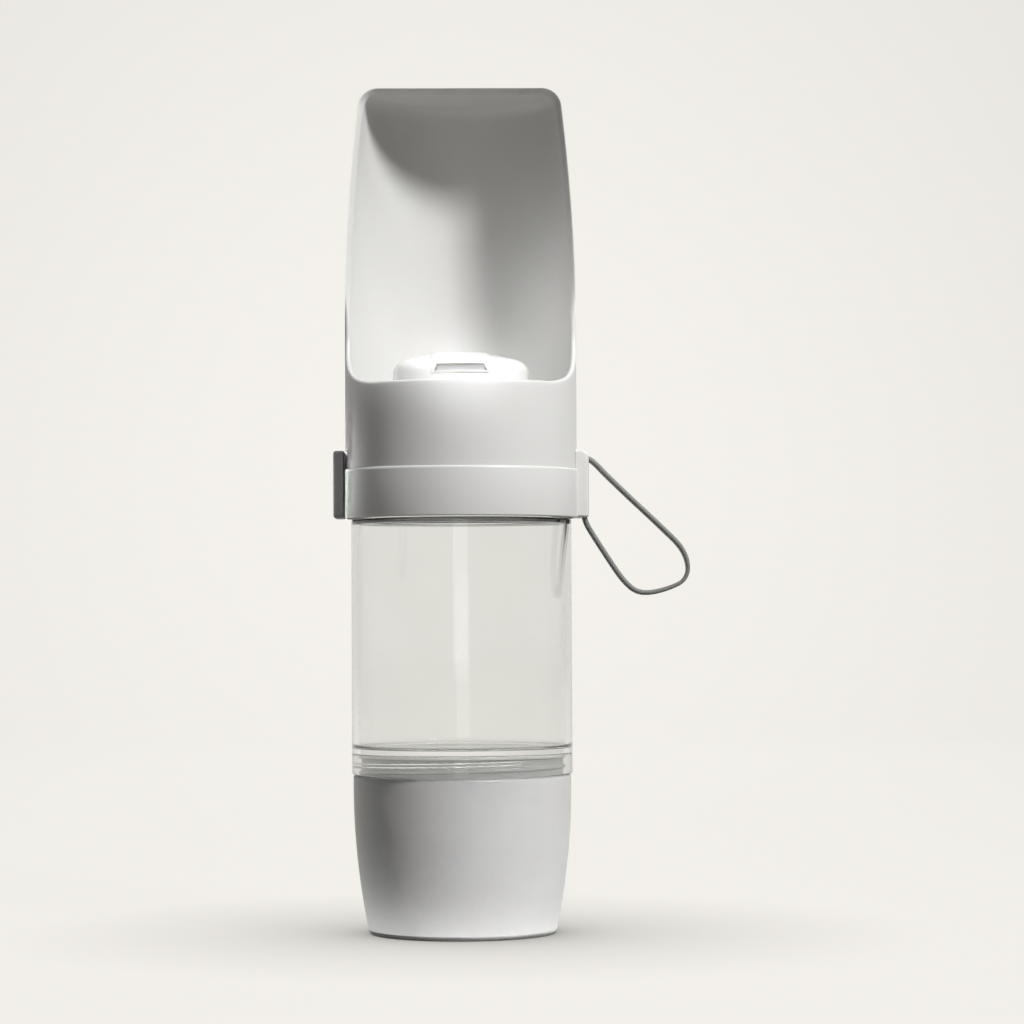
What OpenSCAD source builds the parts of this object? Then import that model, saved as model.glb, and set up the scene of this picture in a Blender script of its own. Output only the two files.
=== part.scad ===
// Travel water bottle for a dog: a clear bottle with a drinking trough on top,
// a push-button water valve in its collar, a wrist strap, and a food cup
// screwed under it. +Z is up, -Y is the open front of the trough, and the
// origin is the middle of the foot of the food cup.

/* [Food cup] */
// Height of the cup's outer wall
cup_h = 50; // [40:1:70]
// How far the cup's rim stands in from the bottle's wall
cup_set_in = 0.5; // [0:0.1:2]
// How far the wall draws in from the rim to the foot
cup_draw = 4.6; // [2:0.1:8]
// Length of the straight band under the rim
cup_band_h = 3; // [1:0.5:8]
// Thickness of the floor
cup_floor_t = 2.6; // [2:0.1:4]
// Wall at the floor, measured in from the foot
cup_foot_wall = 3.1; // [2:0.1:5]
// Height of the threaded neck over the rim
cup_neck_h = 5.9; // [5.6:0.1:9]
// Wall of the threaded neck
cup_neck_wall = 1.7; // [1.4:0.1:3]
// Radius of the round between wall and foot
cup_foot_round = 1.6; // [0.8:0.1:3]
// Width of the foot ring that stands on the table
cup_foot_ring_w = 4; // [2:0.5:8]
// Depth of the recess inside the foot ring
cup_foot_recess = 0.6; // [0.3:0.1:1.2]

/* [Bottle] */
// Outer diameter of the clear body
bottle_d = 70; // [60:0.5:90]
// Wall of the clear body
bottle_wall = 2; // [1.6:0.1:2.2]
// Wall of the threaded skirt under the body
skirt_wall = 1.9; // [1.6:0.1:3]
// Thickness of the bottle's floor
bottle_floor_t = 1.6; // [1.2:0.1:3]
// Height of the body from its floor's underside to the shoulder
bottle_body_h = 73.9; // [50:0.1:110]
// Wall of the neck
bottle_neck_wall = 1.9; // [1.4:0.1:2.4]
// Height of the neck over the shoulder
bottle_neck_h = 11.4; // [10.6:0.1:16]
// Radius of the round on the shoulder's edge
bottle_shoulder_round = 0.8; // [0.4:0.1:1.2]

/* [Threads] */
// Rise of both threads in one turn
thread_pitch = 4; // [3.6:0.1:4.4]
// Height of a thread's ridge over its root
thread_depth = 0.9; // [0.7:0.05:1]
// Width of a ridge at its root
thread_root_w = 1.4; // [1:0.1:1.6]
// Width of a ridge at its crest
thread_crest_w = 0.7; // [0.4:0.1:0.9]
// Gap between a crest and the root that it runs in
thread_gap = 0.3; // [0.25:0.05:0.4]

/* [Collar] */
// How far the collar ring stands out from the bottle's wall
collar_step = 2.5; // [1.5:0.1:4]
// Wall of the collar ring
collar_wall = 4.7; // [4:0.1:5.5]
// Height of the collar ring
collar_h = 15.5; // [15:0.1:20]
// Thickness of the deck that carries the valve
deck_t = 2.6; // [2.4:0.1:3.2]
// Radius of the bright round on the ring's top edge
collar_round = 0.6; // [0.3:0.1:0.7]
// Height of the spigot that the trough plugs onto
spigot_h = 10; // [9:0.1:11]
// Wall of the spigot
spigot_wall = 1.7; // [1.4:0.1:2]
// Width of the coring groove under the ring
core_w = 1.4; // [0.8:0.1:1.6]
// Depth of the coring groove
core_h = 10.5; // [6:0.5:11]
// Half angle left solid at the button and at the strap lug
core_stop_a = 25; // [22:1:40]

/* [Side blocks] */
// How far the button and the strap lug stand out from the collar ring
block_proud = 2.9; // [2:0.1:4]
// Width of the button and of the strap lug
block_w = 15; // [12:0.5:17]
// Height of the button and of the strap lug
block_h = 21.3; // [20.6:0.1:22]
// Radius of the round on their outer edges
block_round = 1.2; // [0.6:0.1:1.5]

/* [Trough] */
// How far the trough's wall stands in from the collar ring's
trough_set_in = 0.7; // [0.6:0.1:1.5]
// Wall of the trough
trough_wall = 1.7; // [1.5:0.05:1.8]
// Height of the trough over the collar ring
trough_h = 121.9; // [90:0.1:150]
// Height of the straight part, where the taper begins
trough_straight_h = 43.2; // [30:0.2:60]
// How far the wall leans in by the top
trough_draw = 4.3; // [2:0.1:8]
// Radius of the round between wall and top
trough_top_round = 5.7; // [3:0.1:8]
// Height of the front sill over the collar ring
sill_h = 26.5; // [22:0.1:34]
// Radius of the window's lower corners
window_round = 10; // [6:0.5:14]
// Height of the trough's floor over the collar ring
basin_floor_h = 11.7; // [11.7:0.1:12.6]
// Thickness of the trough's floor
basin_floor_t = 2; // [1.6:0.1:2.2]
// Diameter of the water hole in the floor
basin_hole_d = 24; // [22:0.5:26]
// Height of the rim that the outlet cover snaps over
basin_rim_h = 3.4; // [2:0.1:5]

/* [Outlet cover] */
// Outer diameter of the cover
cover_d = 43.2; // [40:0.2:46]
// Height of the cover over the trough's floor
cover_h = 25.4; // [18:0.2:28]
// Wall of the cover
cover_wall = 1.6; // [1.2:0.1:2]
// Radius of the crown of the cover
crown_r = 66; // [50:1:120]
// Radius of the round between side and crown
cover_round = 4; // [3:0.2:5]
// Width of the water slot
slot_w = 16; // [10:0.5:18]
// Height of the water slot
slot_h = 2; // [1.4:0.1:3]
// Height of the slot's middle over the trough's floor
slot_z = 19.4; // [16:0.1:19.6]
// How far the hood round the slot stands proud
hood_proud = 0.6; // [0.3:0.1:1]
// Width of the hood beside the slot
hood_border = 1.2; // [0.8:0.1:2]

/* [Valve] */
// Diameter of the valve's port
port_d = 16; // [15:0.2:17]
// Diameter of the valve insert where it fills the deck's hole
insert_d = 23.8; // [22.6:0.1:24.4]
// Diameter of the insert's flange
insert_flange_d = 35; // [33:0.5:38]
// Thickness of the insert's flange
insert_flange_t = 1.2; // [1:0.1:1.4]
// How far the insert's seat reaches under the deck
seat_drop = 1; // [0.6:0.1:1.6]
// Diameter of the stem
stem_d = 3.4; // [3:0.1:3.6]
// Diameter of the plate under the seal
plate_d = 17; // [15:0.5:20]
// Thickness of the plate
plate_t = 1.6; // [1.2:0.1:2.4]
// Diameter of the silicone seal
seal_d = 20; // [18.4:0.2:21]
// Thickness of the silicone seal
seal_t = 1.4; // [1:0.1:2]
// Diameter of the hub that guides the stem
hub_d = 8.8; // [8.4:0.1:9.2]
// Wire of the valve spring
valve_wire_d = 0.5; // [0.4:0.05:0.6]
// Outer diameter of the valve spring
valve_spring_d = 5.8; // [5.4:0.1:6]
// Length of the valve spring at rest
valve_spring_h = 7; // [6.8:0.1:7.4]
// Curls of the valve spring
valve_curls = 6; // [4:1:7]

/* [Button] */
// Travel of the button, and of the valve that it opens
travel = 2; // [1.4:0.1:2.1]
// Gap behind the button when it is pressed home
button_home_gap = 0.2; // [0.1:0.05:0.4]
// Diameter of the button's stem
button_stem_d = 4; // [3.6:0.1:4.2]
// Height of the button's stem over the deck
button_stem_h = 2.9; // [2.8:0.1:3.1]
// Length of the guide boss inside the spigot
gland_boss_l = 2.2; // [1.8:0.1:3]
// Thickness of the silicone gland seal
gland_seal_t = 1.5; // [1:0.1:1.6]
// Thickness of the gland washer
gland_washer_t = 0.4; // [0.3:0.05:0.5]
// Wire of the button's spring
button_wire_d = 0.4; // [0.3:0.05:0.4]
// Curls of the button's spring
button_curls = 3; // [2:1:3]
// Width of the fork that straddles the valve stem
fork_w = 8.4; // [8:0.1:9]
// Width of the slot in the fork
fork_slot_w = 4.4; // [4.2:0.1:4.8]
// Height of the fork's bar
bar_h = 4; // [3.4:0.1:4.4]

/* [Wrist strap] */
// Width of the flat strap
strap_w = 6; // [5:0.5:8]
// Thickness of the flat strap
strap_t = 1.3; // [1:0.1:1.5]

/* [Hidden] */
$fn = 96;

// Fits and allowances
run_gap = 0.05;
sliding_gap = 0.1;
body_gap = 0.3;
seat_gap = 0.02;
spigot_gap = 0.2;
overrun = 1;
weld = 0.2;

// Colours as the photograph shows them
shell_colour = "#c9cac8";
cup_colour = "#c4c5c4";
clear_colour = "#dcdedd80";
cover_colour = "#f4f4f2";
dark_colour = "#696a69";
silicone_colour = "#e6e6e2";
steel_colour = "#b8babd";

// Heights that the pieces stack up from
gasket_t = 1.2;
cup_neck_top = cup_h + cup_neck_h;
bottle_z = cup_neck_top + gasket_t;
skirt_z = cup_h + body_gap;
shoulder_z = bottle_z + bottle_body_h;
collar_z = shoulder_z + body_gap;
neck_top = shoulder_z + bottle_neck_h;
deck_z = neck_top + gasket_t;
deck_top = deck_z + deck_t;
collar_top = collar_z + collar_h;
spigot_top = deck_top + spigot_h;
trough_top = collar_top + trough_h;
sill_z = collar_top + sill_h;
basin_z = collar_top + basin_floor_h;
block_top = collar_z + block_h;

// Radii that follow
bottle_r = bottle_d / 2;
bottle_in_r = bottle_r - bottle_wall;
skirt_bore_r = bottle_r - skirt_wall;
cup_r = bottle_r - cup_set_in;
cup_foot_r = cup_r - cup_draw;
cup_neck_r = skirt_bore_r - thread_gap - thread_depth;
cup_mouth_r = cup_neck_r - cup_neck_wall;
collar_r = bottle_r + collar_step;
collar_bore_r = collar_r - collar_wall;
neck_r = collar_bore_r - sliding_gap - thread_gap - thread_depth;
neck_in_r = neck_r - bottle_neck_wall;
block_reach = collar_r + block_proud;
trough_r = collar_r - trough_set_in;
trough_top_r = trough_r - trough_draw;
trough_in_r = trough_r - trough_wall;
spigot_r = trough_in_r - spigot_gap;
spigot_in_r = spigot_r - spigot_wall;
cover_r = cover_d / 2;

// Points of an arc from angle a0 to a1, n steps
function arc(cx, cy, r, a0, a1, n) =
    [for (i = [0:n]) [cx + r * cos(a0 + (a1 - a0) * i / n), cy + r * sin(a0 + (a1 - a0) * i / n)]];

// A point moved by an angle round the Z axis
function round_z(r, a, z) = [r * cos(a), r * sin(a), z];

// Length of a route up to its point n
function length_to(p, n) = n < 1 ? 0 : norm(p[n] - p[n - 1]) + length_to(p, n - 1);

// Closed tube through rings of points: each ring has the same number of points
module skin(rings) {
    n = len(rings);
    m = len(rings[0]);
    points = [for (ring = rings) for (p = ring) p];
    side_faces = [
        for (i = [0:n - 2]) for (j = [0:m - 1]) for (half = [0, 1])
            half == 0
                ? [i * m + j, (i + 1) * m + j, i * m + (j + 1) % m]
                : [i * m + (j + 1) % m, (i + 1) * m + j, (i + 1) * m + (j + 1) % m]
    ];
    first_cap = [for (j = [1:m - 2]) [0, j, j + 1]];
    last_cap = [for (j = [1:m - 2]) [(n - 1) * m, (n - 1) * m + j + 1, (n - 1) * m + j]];
    polyhedron(points, concat(side_faces, first_cap, last_cap));
}

// Ridge of a thread: root_r is where it grows from, side is 1 outwards and -1 inwards.
// It starts at height z and angle a0, and runs in and out over its first and last steps.
thread_step_a = 6;
thread_fade_steps = 4;
module thread_ridge(root_r, side, z, a0, sweep_a) {
    n = round(sweep_a / thread_step_a);
    skin([
        for (i = [0:n])
            let (
                a = a0 + sweep_a * i / n,
                h = z + thread_pitch * sweep_a * i / n / 360,
                fade = min(1, min(i, n - i) / thread_fade_steps),
                crest = root_r + side * thread_depth * fade,
                crest_w = thread_crest_w * fade + thread_root_w * (1 - fade) / 2,
                root = root_r - side * weld
            )
            side > 0
                ? [
                    round_z(root, a, h - thread_root_w / 2),
                    round_z(root, a, h + thread_root_w / 2),
                    round_z(crest, a, h + crest_w / 2),
                    round_z(crest, a, h - crest_w / 2),
                ]
                : [
                    round_z(root, a, h - thread_root_w / 2),
                    round_z(crest, a, h - crest_w / 2),
                    round_z(crest, a, h + crest_w / 2),
                    round_z(root, a, h + thread_root_w / 2),
                ]
    ]);
}

// Coil spring along +Z from 0 to h, its wire ends lying level
curl_rings = 8;
wire_sides = 6;
coil_end_share = 0.35;
function coil_rise_share(t, curls) =
    let (end = coil_end_share / curls)
    t < end ? 0 : t > 1 - end ? 1 : (t - end) / (1 - 2 * end);
function coil_point(t, r, wire, h, curls) =
    round_z(r, 360 * curls * t, wire / 2 + (h - wire) * coil_rise_share(t, curls));
module coil_spring(d, wire, h, curls) {
    r = (d - wire) / 2;
    n = curls * curl_rings;
    skin([
        for (i = [0:n])
            let (
                a = 360 * curls * i / n,
                c = coil_point(i / n, r, wire, h, curls)
            )
            [
                for (j = [0:wire_sides - 1])
                    let (b = -360 * j / wire_sides)
                    c + [wire / 2 * cos(b) * cos(a), wire / 2 * cos(b) * sin(a), wire / 2 * sin(b)]
            ]
    ]);
    echo(str("spring gap between curls: ", coil_gap(wire, h, curls), " mm"));
}

// Least gap between neighbouring free curls, measured on points one curl apart
function coil_gap(wire, h, curls) =
    let (n = curls * curl_rings)
    min([
        for (i = [curl_rings:n - 2 * curl_rings])
            coil_point((i + curl_rings) / n, 0, wire, h, curls)[2]
                - coil_point(i / n, 0, wire, h, curls)[2] - wire
    ]);

// n copies of what follows, spread evenly round the Z axis
module round_axis(n) {
    for (i = [0:n - 1]) rotate(360 * i / n) children();
}

// Flat ring between two radii
module washer(r_out, r_in, z, t) {
    difference() {
        translate([0, 0, z]) cylinder(r=r_out, h=t);
        translate([0, 0, z - overrun]) cylinder(r=r_in, h=t + 2 * overrun);
    }
}

// Ring of round section
module oring(r, wire_r, z) {
    translate([0, 0, z]) rotate_extrude() translate([r, 0]) circle(r=wire_r, $fn=24);
}

// Rectangle with its far corners rounded, from x0 to x1, y from -w/2 to w/2
module tab_outline(x0, x1, w, r) {
    near = min(abs(x0), abs(x1));
    far = max(abs(x0), abs(x1));
    s = x1 > 0 ? 1 : -1;
    mirror([s > 0 ? 0 : 1, 0]) {
        translate([near, -w / 2]) square([far - near - r, w]);
        translate([near, r - w / 2]) square([far - near, w - 2 * r]);
        for (side = [-1, 1]) translate([far - r, side * (w / 2 - r)]) circle(r=r, $fn=48);
    }
}

// Food cup: the taper is one long arc that leaves the straight band without a kink
cup_arc_h = cup_h - cup_band_h - cup_foot_round;
cup_arc_r = (pow(cup_arc_h, 2) + pow(cup_draw, 2)) / (2 * cup_draw);
cup_arc_a = asin(cup_arc_h / cup_arc_r);
cup_arc_steps = 12;
cup_rim_round = 0.5;
module food_cup() {
    color(cup_colour) {
        difference() {
            rotate_extrude() polygon(concat(
                [[0, 0]],
                arc(cup_foot_r - cup_foot_round, cup_foot_round, cup_foot_round, -90, 0, 6),
                arc(cup_r - cup_arc_r, cup_h - cup_band_h, cup_arc_r, -cup_arc_a, 0, cup_arc_steps),
                arc(cup_r - cup_rim_round, cup_h - cup_rim_round, cup_rim_round, 0, 90, 4),
                [[cup_neck_r, cup_h], [cup_neck_r, cup_neck_top], [0, cup_neck_top]]
            ));
            translate([0, 0, cup_floor_t]) cylinder(
                h=cup_neck_top - cup_floor_t, r1=cup_foot_r - cup_foot_wall, r2=cup_mouth_r);
            translate([0, 0, cup_neck_top - weld]) cylinder(r=cup_mouth_r, h=weld + overrun);
            translate([0, 0, -overrun]) cylinder(
                r=cup_foot_r - cup_foot_round - cup_foot_ring_w, h=cup_foot_recess + overrun);
        }
        thread_ridge(cup_neck_r, 1, cup_thread_z, cup_thread_a, cup_thread_sweep_a);
    }
}

// Where the cup's thread starts over the rim, and how far it runs
cup_thread_z = cup_h + thread_root_w / 2 + body_gap + sliding_gap;
cup_thread_a = 150;
cup_thread_sweep_a = floor((cup_neck_top - thread_root_w / 2 - body_gap - cup_thread_z)
    / thread_pitch * 360 / thread_step_a) * thread_step_a;

// Both inner threads start a quarter turn early and half a pitch over the outer ones
lead_a = 90;
lead_z = thread_pitch / 2 - thread_pitch * lead_a / 360;
skirt_thread_z = cup_thread_z + lead_z;
skirt_thread_sweep_a = floor((cup_neck_top - thread_root_w / 2 - body_gap - skirt_thread_z)
    / thread_pitch * 360 / thread_step_a) * thread_step_a;
collar_thread_sweep_a = 450;
neck_plain_h = 1;
neck_thread_z = shoulder_z + body_gap + neck_plain_h + thread_root_w / 2;

// Flat silicone ring between the cup's neck and the bottle's floor
module cup_gasket() {
    color(silicone_colour)
        washer(skirt_bore_r - thread_gap / 2, cup_mouth_r, cup_neck_top, gasket_t);
}

// Clear bottle: floor, threaded skirt under it, body, shoulder and threaded neck
inner_shoulder_h = neck_r - neck_in_r + bottle_wall;
module bottle() {
    color(clear_colour) {
        rotate_extrude() polygon(concat(
            [[skirt_bore_r, skirt_z], [bottle_r, skirt_z]],
            arc(bottle_r - bottle_shoulder_round, shoulder_z - bottle_shoulder_round,
                bottle_shoulder_round, 0, 90, 6),
            [
                [neck_r, shoulder_z],
                [neck_r, neck_top],
                [neck_in_r, neck_top],
                [neck_in_r, shoulder_z],
                [bottle_in_r, shoulder_z - inner_shoulder_h],
                [bottle_in_r, bottle_z + bottle_floor_t],
                [0, bottle_z + bottle_floor_t],
                [0, bottle_z],
                [skirt_bore_r, bottle_z],
            ]
        ));
        thread_ridge(skirt_bore_r, -1, skirt_thread_z, cup_thread_a - lead_a, skirt_thread_sweep_a);
        thread_ridge(neck_r, 1, neck_thread_z, 0, collar_thread_sweep_a);
    }
}

// Flat silicone ring between the bottle's neck and the collar's deck
module bottle_gasket() {
    color(silicone_colour)
        washer(collar_bore_r - thread_gap / 2, neck_in_r, neck_top, gasket_t);
}

// Places round the valve insert
insert_r = insert_d / 2;
oring_wire_r = 0.55;
oring_seat_r = insert_r + 2 * oring_wire_r + 2 * sliding_gap;
oring_seat_h = 2 * oring_wire_r + sliding_gap;
screw_r = 1;
screw_edge = 2.5;
screw_circle_r = insert_flange_d / 2 - screw_edge;
screw_head_r = 1.9;
screw_head_h = 1.2;
screw_l = 4;
screw_boss_r = 2.4;
screw_boss_floor = 1;
screw_boss_h = screw_l - insert_flange_t - deck_t + screw_boss_floor;
screws = 3;

// Places round the button's gland
gland_w = 1;
button_z = deck_top + button_stem_h;
button_stem_r = button_stem_d / 2;
button_x = -block_reach;
pocket_x = -(spigot_r - sliding_gap);
button_in_x = pocket_x - button_home_gap - travel;
pocket_gap = 0.3;
gland_r = button_stem_r + gland_w;
gland_in_x = pocket_x + gland_washer_t + gland_seal_t + sliding_gap;
boss_root_x = -(spigot_in_r + spigot_wall / 2);
boss_x = -(spigot_in_r - gland_boss_l);
boss_wall = 1.5;
boss_cap_t = 1;
boss_w = 2 * (gland_r + boss_wall);

// Skin left outside the coring groove
core_skin = 1.8;

// Groove and bead that hold and seal the trough on the spigot
trough_oring_r = 0.58;
groove_depth = 2 * trough_oring_r - (trough_in_r - spigot_r) + 2 * seat_gap;
groove_drop = 2;
groove_z = spigot_top - groove_drop;
bead_r = 0.5;
bead_rise = 2;
bead_z = collar_top + bead_rise;

// Route of the wrist strap, chosen by hand: [x beyond the lug, z over the collar's underside]
STRAP_ROUTE = [
    [-1.9, 18.7], [0, 18.7], [2.1, 17.3], [5.6, 13.7], [10, 9.4], [14.6, 5],
    [19.6, 0.3], [24.6, -4.5], [28, -7.9], [30.2, -11], [31.4, -14.4], [31.4, -17.6],
    [29.8, -20.3], [26.6, -22], [22.1, -23.4], [18.2, -23.9], [15.2, -23.3], [12.6, -21.5],
    [9.6, -18], [5.6, -12], [2.2, -6.7], [-0.2, -2.7], [-1.2, 0], [-1.2, 1.8],
];

// Strap lug: the two sockets that the strap's ends sit in
strap_gap = 0.2;
strap_in_z = collar_z + STRAP_ROUTE[0][1];
strap_out_x = block_reach + STRAP_ROUTE[len(STRAP_ROUTE) - 1][0];
strap_hold = 2;
socket_w = strap_w + 2 * strap_gap;
socket_t = strap_t + 2 * strap_gap;
lug_round = 2.4;
lug_root_x = (collar_bore_r + collar_r) / 2;

// Collar ring: screw cap, deck, spigot, strap lug and the button's pocket
module collar_ring() {
    color(shell_colour) {
        difference() {
            union() {
                rotate_extrude() polygon(concat(
                    [[collar_bore_r, collar_z], [collar_r, collar_z]],
                    arc(collar_r - collar_round, collar_top - collar_round, collar_round, 0, 90, 5),
                    [
                        [spigot_r, collar_top],
                        [spigot_r, spigot_top],
                        [spigot_in_r, spigot_top],
                        [spigot_in_r, deck_top],
                        [insert_r + sliding_gap, deck_top],
                        [insert_r + sliding_gap, deck_z],
                        [collar_bore_r, deck_z],
                    ]
                ));
                // Boss that guides the button's stem
                translate([boss_root_x, -boss_w / 2, deck_top - weld])
                    cube([boss_x - boss_root_x, boss_w, button_stem_h + gland_r + boss_cap_t + weld]);
                // Strap lug
                lug();
                // Bead that the trough snaps over
                oring(spigot_r, bead_r - sliding_gap, bead_z);
                // Bosses for the insert's screws
                round_axis(screws) translate([screw_circle_r, 0, deck_z - screw_boss_h])
                    cylinder(r=screw_boss_r, h=screw_boss_h + weld, $fn=32);
            }
            // Coring groove under the ring, left out at the button and at the lug
            for (side = [0, 180]) rotate(side + core_stop_a)
                rotate_extrude(angle=180 - 2 * core_stop_a)
                    translate([collar_r - core_skin - core_w, collar_z - overrun])
                        square([core_w, core_h + overrun]);
            // Pocket of the button
            translate([-2 * collar_r, -block_w / 2 - pocket_gap, collar_z - overrun])
                cube([2 * collar_r + pocket_x, block_w + 2 * pocket_gap, block_h + pocket_gap + overrun]);
            // Bore of the button's stem, and the seat of its seal
            translate([-collar_r, 0, button_z]) rotate([0, 90, 0])
                cylinder(r=button_stem_r + run_gap, h=collar_r + boss_x + overrun);
            translate([-collar_r, 0, button_z]) rotate([0, 90, 0])
                cylinder(r=gland_r, h=collar_r + gland_in_x);
            // Groove of the trough's seal
            difference() {
                translate([0, 0, groove_z - trough_oring_r - seat_gap])
                    cylinder(r=spigot_r + overrun, h=2 * trough_oring_r + 2 * seat_gap);
                translate([0, 0, groove_z - overrun - trough_oring_r])
                    cylinder(r=spigot_r - groove_depth, h=2 * trough_oring_r + 2 * overrun);
            }
            // Seat of the insert's seal
            translate([0, 0, deck_top - oring_seat_h]) cylinder(r=oring_seat_r, h=oring_seat_h + overrun);
            // Pilot holes of the insert's screws
            round_axis(screws)
                translate([screw_circle_r, 0, deck_top + insert_flange_t - screw_l - sliding_gap])
                    cylinder(r=screw_r + seat_gap, h=screw_l + overrun, $fn=24);
        }
        thread_ridge(collar_bore_r, -1, neck_thread_z + lead_z, -lead_a, collar_thread_sweep_a);
    }
}

// Lug with its two strap sockets, clear of the trough that stands beside it
module lug() {
    difference() {
        union() {
            translate([0, 0, collar_z]) linear_extrude(block_h - lug_round)
                tab_outline(lug_root_x, block_reach, block_w, block_round);
            translate([0, 0, block_top - lug_round]) intersection() {
                linear_extrude(lug_round)
                    tab_outline(lug_root_x, block_reach, block_w, block_round);
                translate([0, block_w / 2, 0]) rotate([90, 0, 0]) linear_extrude(block_w) polygon(concat(
                    [[0, 0]],
                    arc(block_reach - lug_round, 0, lug_round, 0, 90, 8),
                    [[0, lug_round]]
                ));
            }
        }
        translate([0, 0, collar_top]) cylinder(r=trough_r + sliding_gap, h=block_h);
        translate([block_reach - strap_hold, -socket_w / 2, strap_in_z - socket_t / 2])
            cube([strap_hold + overrun, socket_w, socket_t]);
        translate([strap_out_x - socket_t / 2, -socket_w / 2, collar_z - overrun])
            cube([socket_t, socket_w, strap_hold + overrun]);
    }
}

// Trough: outer outline, and the same outline one wall inside it
trough_arc_h = trough_top - trough_top_round - collar_top - trough_straight_h;
trough_arc_r = (pow(trough_arc_h, 2) + pow(trough_draw, 2)) / (2 * trough_draw);
trough_arc_a = asin(trough_arc_h / trough_arc_r);
trough_arc_z = collar_top + trough_straight_h;
trough_arc_steps = 14;
function trough_outline(inset) = concat(
    [[trough_r - inset, trough_arc_z]],
    arc(trough_r - trough_arc_r, trough_arc_z, trough_arc_r - inset, 0, trough_arc_a, trough_arc_steps),
    arc(trough_top_r - trough_top_round, trough_top - trough_top_round,
        trough_top_round - inset, 0, 90, 8)
);
basin_fillet = 1.5;
basin_rim_wall = 1.4;
basin_rim_r = cover_r - cover_wall - run_gap;
module trough_shell() {
    color(shell_colour) difference() {
        union() {
            rotate_extrude() polygon(concat(
                [[trough_in_r, collar_top], [trough_r, collar_top]],
                trough_outline(0),
                [[0, trough_top], [0, trough_top - trough_wall]],
                [for (i = [len(trough_outline(0)) - 1:-1:0]) trough_outline(trough_wall)[i]],
                [
                    [trough_in_r, basin_z + basin_fillet],
                    [trough_in_r - basin_fillet, basin_z],
                    [basin_hole_d / 2, basin_z],
                    [basin_hole_d / 2, basin_z - basin_floor_t],
                    [trough_in_r, basin_z - basin_floor_t],
                ]
            ));
            washer(basin_rim_r, basin_rim_r - basin_rim_wall, basin_z - weld, basin_rim_h + weld);
        }
        // Window: everything in front of the middle, over the sill
        translate([0, 0, sill_z]) rotate([90, 0, 0]) linear_extrude(2 * trough_r) {
            translate([-2 * trough_r, window_round]) square([4 * trough_r, trough_h]);
            translate([window_round - trough_r, 0]) square([2 * (trough_r - window_round), trough_h]);
            for (side = [-1, 1]) translate([side * (trough_r - window_round), window_round])
                circle(r=window_round);
        }
        // Gap for the button, groove for the bead, and a way past the strap lug
        translate([-2 * trough_r, -block_w / 2 - pocket_gap, collar_top - overrun])
            cube([2 * trough_r - spigot_in_r, block_w + 2 * pocket_gap,
                block_top - collar_top + pocket_gap + overrun]);
        oring(spigot_r, bead_r, bead_z);
    }
}

// Round seal between the trough and the collar's spigot
module trough_oring() {
    color(silicone_colour)
        oring(spigot_r - groove_depth + trough_oring_r + seat_gap, trough_oring_r - seat_gap / 2, groove_z);
}

// Outlet cover: a domed cap with a hooded slot that faces the window
cover_top = basin_z + cover_h;
crown_a = asin((cover_r - cover_round) / (crown_r - cover_round));
crown_z = cover_top - crown_r;
crown_steps = 8;
cover_edge_z = crown_z + (crown_r - cover_round) * cos(crown_a);
function cover_outline(inset) = concat(
    [[cover_r - inset, cover_edge_z]],
    arc(cover_r - cover_round, cover_edge_z, cover_round - inset, 0, 90 - crown_a, 8),
    [for (i = [crown_steps - 1:-1:0]) [
        (crown_r - inset) * sin(crown_a * i / crown_steps),
        crown_z + (crown_r - inset) * cos(crown_a * i / crown_steps),
    ]]
);
hood_back_share = 0.45;
slot_back_share = 0.5;
module outlet_cover() {
    color(cover_colour) difference() {
        union() {
            rotate_extrude() polygon(concat(
                [[0, basin_z], [cover_r, basin_z]], cover_outline(0)));
            intersection() {
                rotate_extrude() polygon(concat(
                    [[0, basin_z], [cover_r + hood_proud, basin_z]],
                    cover_outline(-hood_proud)));
                translate([-slot_w / 2 - hood_border, -2 * cover_r, basin_z + slot_z - slot_h])
                    cube([slot_w + 2 * hood_border, (2 - hood_back_share) * cover_r, cover_h]);
            }
        }
        rotate_extrude() polygon(concat(
            [[0, basin_z - overrun], [cover_r - cover_wall, basin_z - overrun]],
            cover_outline(cover_wall)));
        translate([-slot_w / 2, -2 * cover_r, basin_z + slot_z - slot_h / 2])
            cube([slot_w, (2 - slot_back_share) * cover_r, slot_h]);
    }
}

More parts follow.
